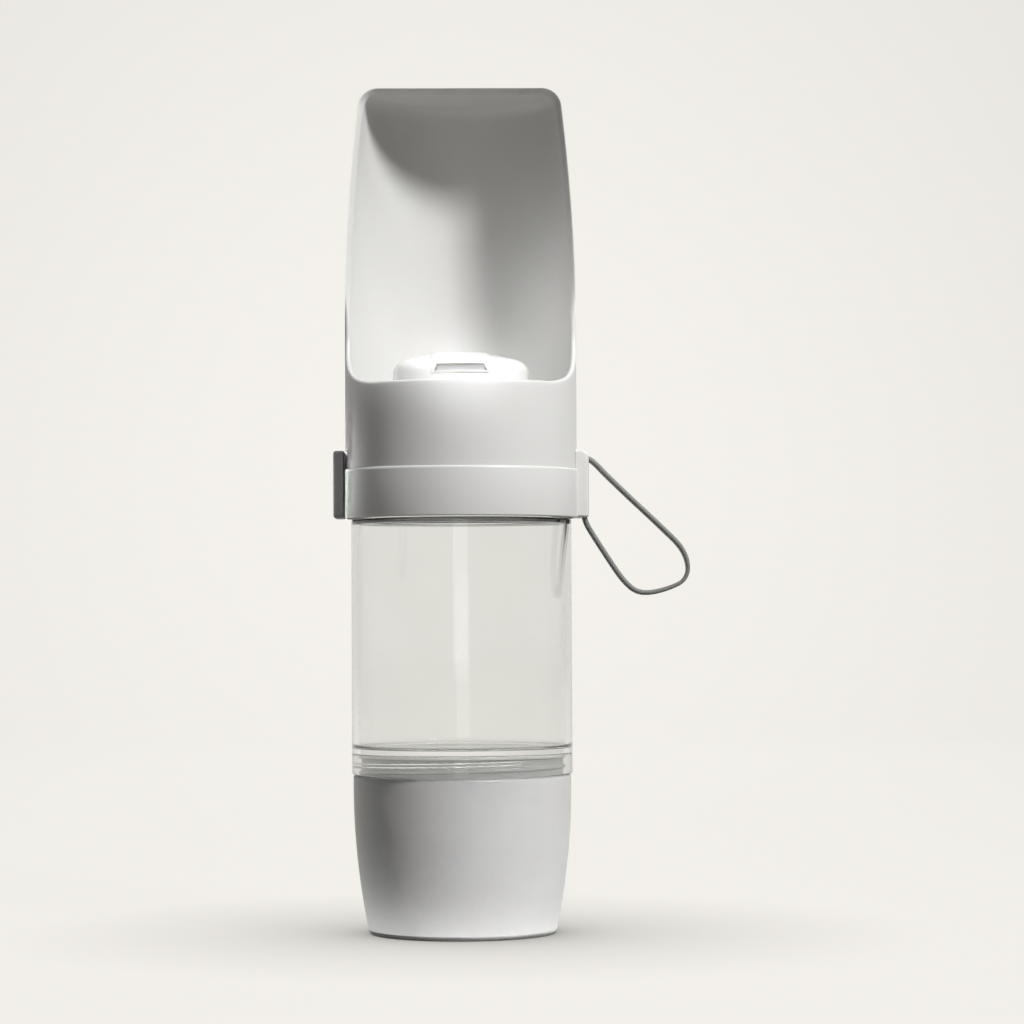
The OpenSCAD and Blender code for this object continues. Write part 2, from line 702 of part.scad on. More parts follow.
// Valve insert: port, three spokes, the stem's hub with the spring's pocket, and a bridge
port_r = port_d / 2;
insert_z = deck_z - seat_drop;
insert_top = deck_top + insert_flange_t;
hub_r = hub_d / 2;
stem_r = stem_d / 2;
spoke_w = 1.8;
spoke_turn_a = 60;
hub_z = insert_z + body_gap;
hub_floor_t = 1.1;
spring_pocket_z = hub_z + hub_floor_t;
spring_pocket_r = valve_spring_d / 2 + sliding_gap;
bridge_x = -12;
bridge_l = 3;
bridge_wall = 1.5;
bar_z = insert_top + 2 * sliding_gap;
bar_top = bar_z + bar_h;
module valve_insert() {
    color(cover_colour) {
        difference() {
            union() {
                translate([0, 0, insert_z]) cylinder(r=insert_r, h=insert_top - insert_z);
                translate([0, 0, deck_top]) cylinder(d=insert_flange_d, h=insert_flange_t);
            }
            translate([0, 0, insert_z - overrun]) cylinder(r=port_r, h=insert_top - insert_z + 2 * overrun);
            round_axis(screws) translate([screw_circle_r, 0, deck_top - overrun])
                cylinder(r=screw_r + sliding_gap, h=insert_flange_t + 2 * overrun, $fn=24);
        }
        difference() {
            union() {
                translate([0, 0, hub_z]) cylinder(r=hub_r, h=insert_top - hub_z);
                rotate(spoke_turn_a) round_axis(screws) translate([0, -spoke_w / 2, hub_z + body_gap])
                    cube([port_r + weld, spoke_w, insert_top - hub_z - body_gap]);
            }
            translate([0, 0, hub_z - overrun]) cylinder(r=stem_r + run_gap, h=hub_floor_t + 2 * overrun);
            translate([0, 0, spring_pocket_z]) cylinder(r=spring_pocket_r, h=insert_top);
        }
        // Bridge that keeps the fork down on its way
        translate([bridge_x - bridge_l / 2, 0, insert_top - weld]) difference() {
            translate([0, -fork_w / 2 - sliding_gap - bridge_wall, 0])
                cube([bridge_l, fork_w + 2 * (sliding_gap + bridge_wall),
                    bar_top - insert_top + weld + sliding_gap + bridge_wall]);
            translate([-overrun, -fork_w / 2 - sliding_gap, weld])
                cube([bridge_l + 2 * overrun, fork_w + 2 * sliding_gap, bar_top - insert_top + sliding_gap]);
        }
    }
}

// Round seal between the insert and the deck
module insert_oring() {
    color(silicone_colour)
        oring(insert_r + sliding_gap + oring_wire_r, oring_wire_r, deck_top - oring_seat_h / 2);
}

// Three pan-head screws that hold the insert on the deck
screw_slot_w = 0.5;
module insert_screws() {
    color(steel_colour) round_axis(screws) translate([screw_circle_r, 0, insert_top]) difference() {
        union() {
            translate([0, 0, -screw_l]) cylinder(r=screw_r, h=screw_l + weld, $fn=24);
            cylinder(r=screw_head_r, h=screw_head_h, $fn=32);
        }
        for (turn = [0, 90]) rotate(turn) translate([-screw_head_r, -screw_slot_w / 2, screw_head_h / 2])
            cube([2 * screw_head_r, screw_slot_w, screw_head_h]);
    }
}

// Valve stem with the plate that carries the seal
seal_top = insert_z - seat_gap;
plate_top = seal_top - seal_t;
follower_z = insert_top + travel + body_gap;
follower_h = 5.8;
follower_top = follower_z + follower_h;
clip_t = 0.4;
clip_groove_depth = 0.45;
clip_groove_r = stem_r - clip_groove_depth;
stem_tip = 1;
stem_top = follower_top + clip_t + stem_tip;
module valve_stem() {
    color(cover_colour) difference() {
        union() {
            translate([0, 0, plate_top - plate_t]) cylinder(d=plate_d, h=plate_t);
            translate([0, 0, plate_top - weld]) cylinder(r=stem_r, h=stem_top - plate_top + weld, $fn=48);
        }
        washer(stem_r + overrun, clip_groove_r, follower_top + seat_gap, clip_t + 2 * seat_gap);
    }
}

// Silicone disc that closes the port
module valve_seal() {
    color(silicone_colour) washer(seal_d / 2, stem_r + seat_gap, plate_top, seal_t);
}

// Spring that pulls the valve shut
module valve_spring() {
    color(steel_colour) translate([0, 0, spring_pocket_z])
        coil_spring(valve_spring_d, valve_wire_d, valve_spring_h, valve_curls);
}

// Follower on the stem: its 45 degree face is pressed down by the fork
follower_back = 4.2;
follower_front = 6;
follower_lip = 0.8;
follower_slope = follower_top - follower_z - follower_lip;
module cam_follower() {
    color(cover_colour) difference() {
        translate([0, fork_w / 2, 0]) rotate([90, 0, 0]) linear_extrude(fork_w) polygon([
            [-follower_front, follower_z],
            [follower_back, follower_z],
            [follower_back, follower_top],
            [follower_slope - follower_front, follower_top],
            [-follower_front, follower_z + follower_lip],
        ]);
        translate([0, 0, follower_z - overrun])
            cylinder(r=spring_pocket_r, h=spring_pocket_z + valve_spring_h + seat_gap - follower_z + overrun);
        translate([0, 0, follower_z]) cylinder(r=stem_r + seat_gap, h=follower_top, $fn=48);
    }
}

// Clip in the stem's groove, over the follower
clip_gap_w = 2;
clip_r = fork_slot_w / 2 - sliding_gap;
module stem_clip() {
    color(steel_colour) difference() {
        washer(clip_r, clip_groove_r + seat_gap, follower_top + 2 * seat_gap, clip_t);
        translate([0, -clip_gap_w / 2, follower_top]) cube([2 * stem_r, clip_gap_w, 2 * clip_t]);
    }
}

// Release button: a flat block on the collar's left side, with its stem
button_stem_reach = 5;
button_stem_end = boss_x + button_stem_reach;
spring_well = 1.5;
spring_well_r = gland_r + sliding_gap;
button_spring_d = 2 * gland_r - 2 * sliding_gap;
module release_button() {
    color(dark_colour) {
        difference() {
            translate([0, 0, collar_z]) linear_extrude(block_h)
                tab_outline(button_in_x, button_x, block_w, block_round);
            translate([button_in_x - spring_well, 0, button_z]) rotate([0, 90, 0])
                cylinder(r=spring_well_r, h=spring_well + overrun);
        }
        difference() {
            translate([button_in_x - spring_well - weld, 0, button_z]) rotate([0, 90, 0])
                cylinder(r=button_stem_r, h=button_stem_end - button_in_x + spring_well + weld);
            translate([pin_x, 0, button_z]) rotate([90, 0, 0])
                cylinder(r=pin_r + seat_gap, h=4 * gland_r, center=true, $fn=24);
        }
    }
}

// Silicone ring that seals the button's stem
module gland_seal() {
    color(silicone_colour)
        translate([pocket_x + gland_washer_t + seat_gap, 0, button_z]) rotate([0, 90, 0])
            washer(gland_r - seat_gap, button_stem_r + seat_gap, 0, gland_seal_t);
}

// Washer that keeps the gland seal in its seat
module gland_washer() {
    color(steel_colour) translate([pocket_x, 0, button_z]) rotate([0, 90, 0])
        washer(gland_r - seat_gap, button_stem_r + sliding_gap, 0, gland_washer_t);
}

// Spring that pushes the button out
button_spring_l = pocket_x - button_in_x + spring_well - 2 * seat_gap;
module button_spring() {
    color(steel_colour) translate([pocket_x - seat_gap - button_spring_l, 0, button_z]) rotate([0, 90, 0])
        coil_spring(button_spring_d, button_wire_d, button_spring_l, button_curls);
}

// Fork: hub on the button's stem, bar, and two tines with 45 degree faces
fork_hub_l = 6;
fork_hub_x = boss_x + sliding_gap;
slope_shift = follower_z + follower_lip + follower_front + sliding_gap * sqrt(2);
tine_rise = 0.6;
tine_top = follower_top + tine_rise;
tine_back = 4;
pin_r = 0.8;
pin_x = fork_hub_x + fork_hub_l / 2;
module cam_fork() {
    color(cover_colour) difference() {
        union() {
            translate([fork_hub_x, -fork_w / 2, deck_top + sliding_gap])
                cube([fork_hub_l, fork_w, bar_top - deck_top - sliding_gap]);
            translate([0, fork_w / 2, 0]) rotate([90, 0, 0]) linear_extrude(fork_w) polygon([
                [fork_hub_x + fork_hub_l / 2, bar_z],
                [bar_z - slope_shift, bar_z],
                [tine_top - slope_shift, tine_top],
                [tine_top - slope_shift - tine_back, tine_top],
                [bar_top - slope_shift - tine_back, bar_top],
                [fork_hub_x + fork_hub_l / 2, bar_top],
            ]);
        }
        translate([-follower_front - overrun - travel, -fork_slot_w / 2, bar_z - overrun])
            cube([2 * follower_front + travel, fork_slot_w, tine_top]);
        translate([fork_hub_x - overrun, 0, button_z]) rotate([0, 90, 0])
            cylinder(r=button_stem_r + seat_gap, h=button_stem_end - fork_hub_x + overrun + sliding_gap);
        translate([pin_x, 0, button_z]) rotate([90, 0, 0])
            cylinder(r=pin_r + seat_gap, h=4 * gland_r, center=true, $fn=24);
    }
}

// Pin through the fork's hub and the button's stem
module fork_pin() {
    color(steel_colour) translate([pin_x, 0, button_z]) rotate([90, 0, 0])
        cylinder(r=pin_r, h=fork_w, center=true, $fn=24);
}

// Wrist strap: a flat loop along its route, in the plane y = 0
// Shares of half the strap's width and thickness round its section
strap_section_share = [[1, 0], [0.93, 0.7], [0.75, 1], [-0.75, 1], [-0.93, 0.7],
    [-1, 0], [-0.93, -0.7], [-0.75, -1], [0.75, -1], [0.93, -0.7]];
module wrist_strap() {
    n = len(STRAP_ROUTE);
    color(dark_colour) skin([
        for (i = [0:n - 1])
            let (
                c = [block_reach, collar_z] + STRAP_ROUTE[i],
                ahead = STRAP_ROUTE[min(i + 1, n - 1)] - STRAP_ROUTE[max(i - 1, 0)],
                u = ahead / norm(ahead),
                side = [-u[1], u[0]] * strap_t / 2
            )
            [
                for (s = strap_section_share)
                    [c[0] + side[0] * s[1], s[0] * strap_w / 2, c[1] + side[1] * s[1]]
            ]
    ]);
    echo(str("length of the strap: ", length_to(STRAP_ROUTE, n - 1), " mm"));
}

food_cup();
cup_gasket();
bottle();
bottle_gasket();
collar_ring();
trough_shell();
trough_oring();
outlet_cover();
valve_insert();
insert_oring();
insert_screws();
valve_stem();
valve_seal();
valve_spring();
cam_follower();
stem_clip();
release_button();
gland_seal();
gland_washer();
button_spring();
cam_fork();
fork_pin();
wrist_strap();
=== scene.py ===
"""Dog travel water bottle: the visual model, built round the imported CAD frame.

Sizes are in millimetres, as in the CAD, and become metres where a mesh is made. The studio is in metres.
"""

import logging
import math
from collections.abc import Callable, Sequence
from dataclasses import dataclass, field
from enum import Enum

import bmesh
import bpy
from mathutils import Matrix, Vector


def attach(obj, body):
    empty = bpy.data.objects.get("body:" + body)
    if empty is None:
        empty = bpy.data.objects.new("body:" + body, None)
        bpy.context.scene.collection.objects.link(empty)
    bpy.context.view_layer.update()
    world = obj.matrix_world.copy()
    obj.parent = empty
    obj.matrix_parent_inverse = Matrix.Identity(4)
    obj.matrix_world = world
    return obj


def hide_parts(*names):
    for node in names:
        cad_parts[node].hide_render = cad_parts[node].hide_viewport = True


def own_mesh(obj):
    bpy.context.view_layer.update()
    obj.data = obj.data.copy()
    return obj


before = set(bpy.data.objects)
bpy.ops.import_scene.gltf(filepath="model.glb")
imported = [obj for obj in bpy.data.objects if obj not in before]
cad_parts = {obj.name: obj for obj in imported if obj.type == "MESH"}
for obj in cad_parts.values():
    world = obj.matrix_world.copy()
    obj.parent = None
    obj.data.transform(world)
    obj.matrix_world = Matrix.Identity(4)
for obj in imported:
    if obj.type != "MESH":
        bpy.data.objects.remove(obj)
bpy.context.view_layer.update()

MM = 0.001
SEGMENTS = 240
ROUND_STEPS = 5
SHARP_ANGLE = math.radians(32)
# Distances in mm: one that counts as none, vertices that are merged, radii that count as one, and
# reach of a thread's own wall
TINY = 1e-6
MERGE_GAP = 0.002
SAME = 0.01
WALL_GAP = 0.02

Point = tuple[float, float]
Place = tuple[float, float, float]
Box = tuple[Place, Place]
Corner = tuple[float, float, float]
Colour = tuple[float, float, float, float]
Material = bpy.types.Material
Node = bpy.types.Node
Piece = bpy.types.Object
Socket = bpy.types.NodeSocket
Tree = bpy.types.NodeTree

log = logging.getLogger("water_bottle")


class Body(Enum):
    """Rigid groups of the bottle, as the CAD names them."""

    CUP = "cup"
    CUP_GASKET = "cup_gasket_ring"
    BOTTLE = "bottle_body"
    NECK_GASKET = "neck_gasket_ring"
    HEAD = "head"
    BUTTON = "button"
    VALVE = "valve"


class Slot(Enum):
    """Names of the bottle's material slots."""

    CUP = "cup_plastic"
    SHELL = "shell_plastic"
    CLEAR = "clear_plastic"
    WHITE = "white_plastic"
    DARK = "dark_plastic"
    STRAP = "strap_rubber"
    SILICONE = "silicone"
    STEEL = "steel"


class Side(Enum):
    """Way that a thread stands out from its wall."""

    OUTWARDS = 1.0
    INWARDS = -1.0


def linear(code: str) -> Colour:
    """Turn an sRGB hex colour to linear light.

    Args:
        code: colour such as "#c9cac8".

    Returns:
        Red, green, blue and full opacity, each from 0 to 1.
    """
    parts = [int(code[i : i + 2], 16) / 255 for i in (1, 3, 5)]
    light = [p / 12.92 if p <= 0.04045 else ((p + 0.055) / 1.055) ** 2.4 for p in parts]
    return (light[0], light[1], light[2], 1.0)


def add_node(
    tree: Tree, kind: str, inputs: dict[str | int, object] | None = None, **settings: object
) -> Node:
    """Add a node with its settings and links.

    Args:
        tree: node tree that gets it.
        kind: Blender's name of the node's type.
        inputs: a value, a socket to link from or a node whose first output is linked, for each input.
        settings: the node's own properties.

    Returns:
        The new node.
    """
    node = tree.nodes.new(kind)
    for key, value in settings.items():
        setattr(node, key, value)
    for key, value in (inputs or {}).items():
        source = value.outputs[0] if isinstance(value, Node) else value
        if isinstance(source, Socket):
            tree.links.new(source, node.inputs[key])
        else:
            node.inputs[key].default_value = source
    return node


def new_tree(name: str, sizes: dict[str, float]) -> tuple[Tree, bpy.types.NodeOutputs]:
    """Start a Geometry Nodes tree that has a named input for each size.

    Args:
        name: name of the tree.
        sizes: value of each named input.

    Returns:
        The tree and the sockets of its inputs.
    """
    tree = bpy.data.node_groups.new(name, "GeometryNodeTree")
    sockets = [("Geometry", "INPUT", "Geometry")] + [(size, "INPUT", "Float") for size in sizes]
    sockets += [("Finish", "INPUT", "Material"), ("Geometry", "OUTPUT", "Geometry")]
    for label, way, kind in sockets:
        tree.interface.new_socket(label, in_out=way, socket_type=f"NodeSocket{kind}")
    return tree, add_node(tree, "NodeGroupInput").outputs


def new_material(name: str) -> tuple[Material, Tree, Socket]:
    """Start a material whose patterns lie on Object coordinates.

    Args:
        name: name of the real material.

    Returns:
        The material, its tree and the socket of its Object coordinates.
    """
    finish = bpy.data.materials.new(name)
    finish.use_nodes = True
    finish.node_tree.nodes.clear()
    place = add_node(finish.node_tree, "ShaderNodeTexCoord").outputs["Object"]
    return finish, finish.node_tree, place


def arc(cx: float, cz: float, r: float, start: float, end: float, steps: int) -> list[Point]:
    """Points of an arc.

    Args:
        cx: centre, across.
        cz: centre, up.
        r: radius.
        start: first angle in degrees.
        end: last angle in degrees.
        steps: number of straight steps.

    Returns:
        Points from the first angle to the last.
    """
    turns = [math.radians(start + (end - start) * i / steps) for i in range(steps + 1)]
    return [(cx + r * math.cos(a), cz + r * math.sin(a)) for a in turns]


def plain(points: Sequence[Point]) -> list[Corner]:
    """Points as corners that stay as they are."""
    return [(x, z, 0.0) for x, z in points]


def softened(corners: Sequence[Corner]) -> list[Point]:
    """Round each corner of a closed outline by its own radius.

    Args:
        corners: across, up and radius of each corner.

    Returns:
        The outline with its rounds.
    """
    outline: list[Point] = []
    for i, (x, z, r) in enumerate(corners):
        here = Vector((x, z))
        back = Vector(corners[i - 1][:2]) - here
        ahead = Vector(corners[(i + 1) % len(corners)][:2]) - here
        if r <= 0 or back.length < TINY or ahead.length < TINY:
            outline.append((x, z))
            continue
        back.normalize()
        ahead.normalize()
        opening = back.angle(ahead)
        reach = r / math.tan(opening / 2)
        centre = here + (back + ahead).normalized() * (r / math.sin(opening / 2))
        first = here + back * reach - centre
        last = here + ahead * reach - centre
        start = math.atan2(first.y, first.x)
        turn = (math.atan2(last.y, last.x) - start + math.pi) % math.tau - math.pi
        end = start + turn
        outline += arc(centre.x, centre.y, r, math.degrees(start), math.degrees(end), ROUND_STEPS)
    return outline


@dataclass(frozen=True)
class Thread:
    """Screw thread on a wall, in mm and degrees, right-handed."""

    root_r: float
    start_z: float
    start_angle: float
    sweep: float
    side: Side
    pitch: float = 4.0
    depth: float = 0.9
    root_w: float = 1.4
    crest_w: float = 0.7
    fade: float = 24.0
    row: float = 0.17

    def top_z(self) -> float:
        """Height at which the thread ends."""
        return self.start_z + self.pitch * self.sweep / 360

    def cut(self, piece: Piece) -> None:
        """Raise the thread out of the piece's wall.

        Args:
            piece: turned piece with close rows where the thread runs.
        """
        sizes = {
            "Root radius": self.root_r * MM,
            "Start height": self.start_z * MM,
            "Start turn": self.start_angle / 360,
            "Turns": self.sweep / 360,
            "Fade turns": self.fade / 360,
            "Pitch": self.pitch * MM,
            "Depth": self.side.value * self.depth * MM,
            "Half root": self.root_w * MM / 2,
            "Flank": (self.root_w - self.crest_w) * MM / 2,
        }
        tree, given = new_tree("Thread relief", sizes)
        place = add_node(tree, "GeometryNodeInputPosition")
        flat = add_node(tree, "ShaderNodeVectorMath", {0: place, 1: (1, 1, 0)}, operation="MULTIPLY")
        radius = add_node(tree, "ShaderNodeVectorMath", {0: flat}, operation="LENGTH").outputs["Value"]
        out = add_node(tree, "ShaderNodeVectorMath", {0: flat}, operation="NORMALIZE")
        split = add_node(tree, "ShaderNodeSeparateXYZ", {0: place}).outputs
        known: dict[str, object] = {name: given[name] for name in sizes}
        known |= {"x": split["X"], "y": split["Y"], "z": split["Z"]}
        steps = (
            ("angle", "ARCTAN2", "y", "x"),
            ("share", "DIVIDE", "angle", math.tau),
            ("from start", "SUBTRACT", "share", "Start turn"),
            ("over start", "SUBTRACT", "z", "Start height"),
            ("risen", "DIVIDE", "over start", "Pitch"),
            ("apart", "SUBTRACT", "risen", "from start"),
            ("whole", "ROUND", "apart", 0.0),
            ("along", "ADD", "from start", "whole"),
            ("left", "SUBTRACT", "Turns", "along"),
            ("from end", "MINIMUM", "along", "left"),
            ("faded", "DIVIDE", "from end", "Fade turns"),
            ("off", "SUBTRACT", "risen", "along"),
            ("off height", "MULTIPLY", "off", "Pitch"),
            ("distance", "ABSOLUTE", "off height", 0.0),
            ("inside", "SUBTRACT", "Half root", "distance"),
            ("slope", "DIVIDE", "inside", "Flank"),
        )
        for name, operation, first, second in steps:
            terms = {0: known.get(first, first), 1: known.get(second, second)}
            known[name] = add_node(tree, "ShaderNodeMath", terms, operation=operation)
        ramps = [add_node(tree, "ShaderNodeClamp", {"Value": known[name]}) for name in ("faded", "slope")]
        share = add_node(tree, "ShaderNodeMath", {0: ramps[0], 1: ramps[1]}, operation="MULTIPLY")
        rise = add_node(tree, "ShaderNodeMath", {0: share, 1: given["Depth"]}, operation="MULTIPLY")
        move = add_node(tree, "ShaderNodeVectorMath", {0: out, "Scale": rise}, operation="SCALE")
        terms = {0: radius, 1: given["Root radius"], 2: WALL_GAP * MM}
        on_wall = add_node(tree, "ShaderNodeMath", terms, operation="COMPARE")
        change = {"Geometry": given["Geometry"], "Selection": on_wall, "Offset": move}
        end_tree(tree, add_node(tree, "GeometryNodeSetPosition", change), given["Finish"])
        run_tree(piece, tree, sizes)


def end_tree(tree: Tree, shape: Node, finish: Socket) -> None:
    """End a Geometry Nodes tree in real geometry that has its finish.

    Args:
        tree: the tree.
        shape: node whose first output is the geometry.
        finish: socket that gives the material.
    """
    real = add_node(tree, "GeometryNodeRealizeInstances", {0: shape})
    dressed = add_node(tree, "GeometryNodeSetMaterial", {"Geometry": real, "Material": finish})
    add_node(tree, "NodeGroupOutput", {0: dressed})


def run_tree(piece: Piece, tree: Tree, sizes: dict[str, float]) -> None:
    """Run a Geometry Nodes tree on a piece and keep its plain result.

    Args:
        piece: the piece, whose first material is the finish.
        tree: the tree.
        sizes: value of each named input.
    """
    change = piece.modifiers.new(tree.name, "NODES")
    change.node_group = tree
    values = dict(sizes, Finish=piece.data.materials[0])
    for item in tree.interface.items_tree:
        if item.in_out == "INPUT" and item.name in values:
            change[item.identifier] = values[item.name]
    settle(piece)
    bpy.data.node_groups.remove(tree)


def settle(piece: Piece) -> None:
    """Turn a piece's modifiers into its own plain mesh."""
    graph = bpy.context.evaluated_depsgraph_get()
    finish = piece.data.materials[0] if piece.data.materials else None
    mesh = bpy.data.meshes.new_from_object(piece.evaluated_get(graph))
    piece.modifiers.clear()
    old = piece.data
    piece.data = mesh
    bpy.data.meshes.remove(old)
    mesh.materials.clear()
    mesh.materials.append(finish)


def smooth(piece: Piece, outwards: bool = True) -> Piece:
    """Merge doubles, turn the faces outwards and shade them round, sharp at real edges.

    Args:
        piece: the piece to finish.
        outwards: whether its normals are worked out again.

    Returns:
        The same piece.
    """
    work = bmesh.new()
    work.from_mesh(piece.data)
    bmesh.ops.remove_doubles(work, verts=work.verts, dist=MERGE_GAP * MM)
    bmesh.ops.dissolve_degenerate(work, dist=MERGE_GAP * MM / 2, edges=work.edges)
    if outwards:
        bmesh.ops.recalc_face_normals(work, faces=work.faces)
        if work.calc_volume(signed=True) < 0:
            bmesh.ops.reverse_faces(work, faces=work.faces)
    work.to_mesh(piece.data)
    work.free()
    piece.data.polygons.foreach_set("use_smooth", [True] * len(piece.data.polygons))
    piece.data.set_sharp_from_angle(angle=SHARP_ANGLE)
    return piece


def make_piece(
    name: str, points: Sequence[Sequence[float]], faces: Sequence[Sequence[int]], finish: Material
) -> Piece:
    """Make a piece from points in millimetres.

    Args:
        name: name of the piece.
        points: places of its vertices, in mm.
        faces: vertices of each face.
        finish: its material.

    Returns:
        The new object, at the origin.
    """
    mesh = bpy.data.meshes.new(name)
    mesh.from_pydata([tuple(c * MM for c in p) for p in points], [], faces)
    mesh.materials.append(finish)
    piece = bpy.data.objects.new(name, mesh)
    bpy.context.scene.collection.objects.link(piece)
    return piece


def turned(
    name: str,
    outline: Sequence[Point],
    finish: Material,
    threads: Sequence[Thread] = (),
    segments: int = SEGMENTS,
) -> Piece:
    """Turn a closed outline round the bottle's axis.

    Args:
        name: name of the piece.
        outline: radius and height of its points in mm, in order; points on the axis become poles.
        finish: its material.
        threads: threads cut in its walls.
        segments: steps round the axis.

    Returns:
        The piece, its faces outwards.
    """
    rows: list[Point] = []
    for i, (r, z) in enumerate(outline):
        nr, nz = outline[(i + 1) % len(outline)]
        rows.append((r, z))
        low, high = min(z, nz), max(z, nz)
        for thread in threads:
            on_wall = abs(r - nr) < SAME and abs(r - thread.root_r) < SAME
            if on_wall and high - low > thread.row:
                start = max(low, thread.start_z - thread.root_w)
                end = min(high, thread.top_z() + thread.root_w)
                count = max(1, round((end - start) / thread.row))
                inner = [start + (end - start) * k / count for k in range(count + 1)]
                inner = [h for h in inner if low + SAME < h < high - SAME]
                rows += [(r, h) for h in (inner if nz > z else reversed(inner))]
    points: list[Place] = []
    index: list[list[int]] = []
    for r, z in rows:
        steps = 1 if r < TINY else segments
        index.append([len(points) + j % steps for j in range(segments)])
        points += [
            (r * math.cos(math.tau * j / segments), r * math.sin(math.tau * j / segments), z)
            for j in range(steps)
        ]
    faces: list[list[int]] = []
    for row, after in zip(index, index[1:] + index[:1]):
        for j in range(segments):
            ring = [row[j], row[(j + 1) % segments], after[(j + 1) % segments], after[j]]
            corners = list(dict.fromkeys(ring))
            if len(corners) > 2:
                faces.append(corners)
    piece = make_piece(name, points, faces, finish)
    for thread in threads:
        thread.cut(piece)
    return smooth(piece)


def skin(faces: list[list[int]], first: Sequence[int], second: Sequence[int], closed: bool = True) -> None:
    """Skin between two rows of points.

    Args:
        faces: faces, which grow.
        first: vertices of one row.
        second: vertices of the other row, as many.
        closed: whether the last points join the first ones.
    """
    n = len(first)
    for j in range(n if closed else n - 1):
        k = (j + 1) % n
        faces.append([first[j], first[k], second[k], second[j]])


def lofted(name: str, rings: Sequence[Sequence[Sequence[float]]], finish: Material) -> Piece:
    """Skin a closed solid over rings that have the same number of points.

    Args:
        name: name of the piece.
        rings: points of each ring in mm; the first and the last are closed by a face.
        finish: its material.

    Returns:
        The piece, its faces outwards.
    """
    count = len(rings[0])
    points = [p for ring in rings for p in ring]
    rows = [list(range(i, i + count)) for i in range(0, len(points), count)]
    faces = [rows[0], rows[-1]]
    for first, second in zip(rows, rows[1:]):
        skin(faces, first, second)
    return smooth(make_piece(name, points, faces, finish))


def rod(name: str, spans: Sequence[Point], z: float, steps: int, finish: Material) -> Piece:
    """Round rod or cutting tool along X, in the plane y = 0.

    Args:
        name: name of the piece.
        spans: place along X and radius of each of its rings, in mm.
        z: height of its middle line.
        steps: points in each ring.
        finish: its material.

    Returns:
        The closed solid.
    """
    rings = [[(x, y, up) for y, up in arc(0, z, r, 0, 360, steps)[:-1]] for x, r in spans]
    return lofted(name, rings, finish)


def cutter(low: Sequence[float], high: Sequence[float]) -> Piece:
    """Box-shaped tool between two corners in mm.

    Args:
        low: lowest corner.
        high: highest corner.

    Returns:
        The tool, which the cut removes.
    """
    rings = [
        [(low[0], low[1], z), (high[0], low[1], z), (high[0], high[1], z), (low[0], high[1], z)]
        for z in (low[2], high[2])
    ]
    return lofted("cutter", rings, bpy.data.materials.new("cutter"))


def combine(piece: Piece, tool: Piece, operation: str) -> None:
    """Join a tool to a piece, or cut it out of the piece.

    Args:
        piece: the piece that stays.
        tool: the other solid, which is removed.
        operation: UNION or DIFFERENCE.
    """
    change = piece.modifiers.new("Combine", "BOOLEAN")
    change.operation = operation
    change.solver = "EXACT"
    change.object = tool
    settle(piece)
    bpy.data.objects.remove(tool)
    smooth(piece, outwards=False)


def dress(piece: Piece, body: Body, node: str) -> None:
    """Hang a piece on its body and hide the CAD node that it stands for.

    Args:
        piece: finished piece.
        body: body that it rides on.
        node: CAD node that it replaces.
    """
    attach(piece, body.value)
    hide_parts(node)
    log.info("%s rides on %s", piece.name, body.value)


@dataclass(frozen=True)
class Finish:
    """Real material with two close colours, which a pattern blends."""

    name: str
    colour: str
    shade: str

    def closed(self, finish: Material, pattern: Node, parts: dict[str, object]) -> Material:
        """End the material's tree in one shader.

        Args:
            finish: the material.
            pattern: node that blends the two colours.
            parts: the shader's other inputs.

        Returns:
            The same material, ready to use.
        """
        tree = finish.node_tree
        colours = {0: pattern, 6: linear(self.colour), 7: linear(self.shade)}
        tint = add_node(tree, "ShaderNodeMix", colours, data_type="RGBA").outputs[2]
        shader = add_node(tree, "ShaderNodeBsdfPrincipled", {"Base Color": tint} | parts)
        add_node(tree, "ShaderNodeOutputMaterial", {"Surface": shader})
        return finish

    def material(self) -> Material:
        """Build the material, each kind of finish in its own way."""
        raise NotImplementedError


@dataclass(frozen=True)
class MouldedPlastic(Finish):
    """Opaque moulded plastic: an even colour, a faint cloud of flow, and the tool's fine grain."""

    roughness: float = 0.42
    sheen_spread: float = 0.06
    # A real tool's grain is about 0.1 mm; it's drawn coarser, so that a picture can hold it
    grain: float = 0.9
    grain_depth: float = 0.012
    # Flow lines of a moulding are some centimetres apart
    cloud: float = 38.0
    subsurface: float = 0.0
    # How far red, green and blue light go in
    depths: Place = (4.0, 4.0, 3.6)

    def material(self) -> Material:
        """Build the material.

        Returns:
            Material whose patterns are sized in mm on Object coordinates.
        """
        finish, tree, place = new_material(self.name)
        flow = {"Vector": place, "Scale": 1 / (self.cloud * MM), "Detail": 2.0, "Roughness": 0.4}
        cloud = add_node(tree, "ShaderNodeTexNoise", flow)
        fine = {"Vector": place, "Scale": 1 / (self.grain * MM), "Detail": 3.0, "Roughness": 0.55}
        grain = add_node(tree, "ShaderNodeTexNoise", fine)
        least, most = self.roughness - self.sheen_spread, self.roughness + self.sheen_spread
        spread = {"Value": grain, "From Min": 0.3, "From Max": 0.7, "To Min": least, "To Max": most}
        gloss = add_node(tree, "ShaderNodeMapRange", spread)
        relief = {"Strength": 0.6, "Distance": self.grain_depth * MM, "Height": grain}
        parts = {
            "Roughness": gloss,
            "IOR": 1.5,
            "Subsurface Weight": self.subsurface,
            "Subsurface Radius": [d * MM for d in self.depths],
            "Normal": add_node(tree, "ShaderNodeBump", relief),
        }
        return self.closed(finish, cloud, parts)


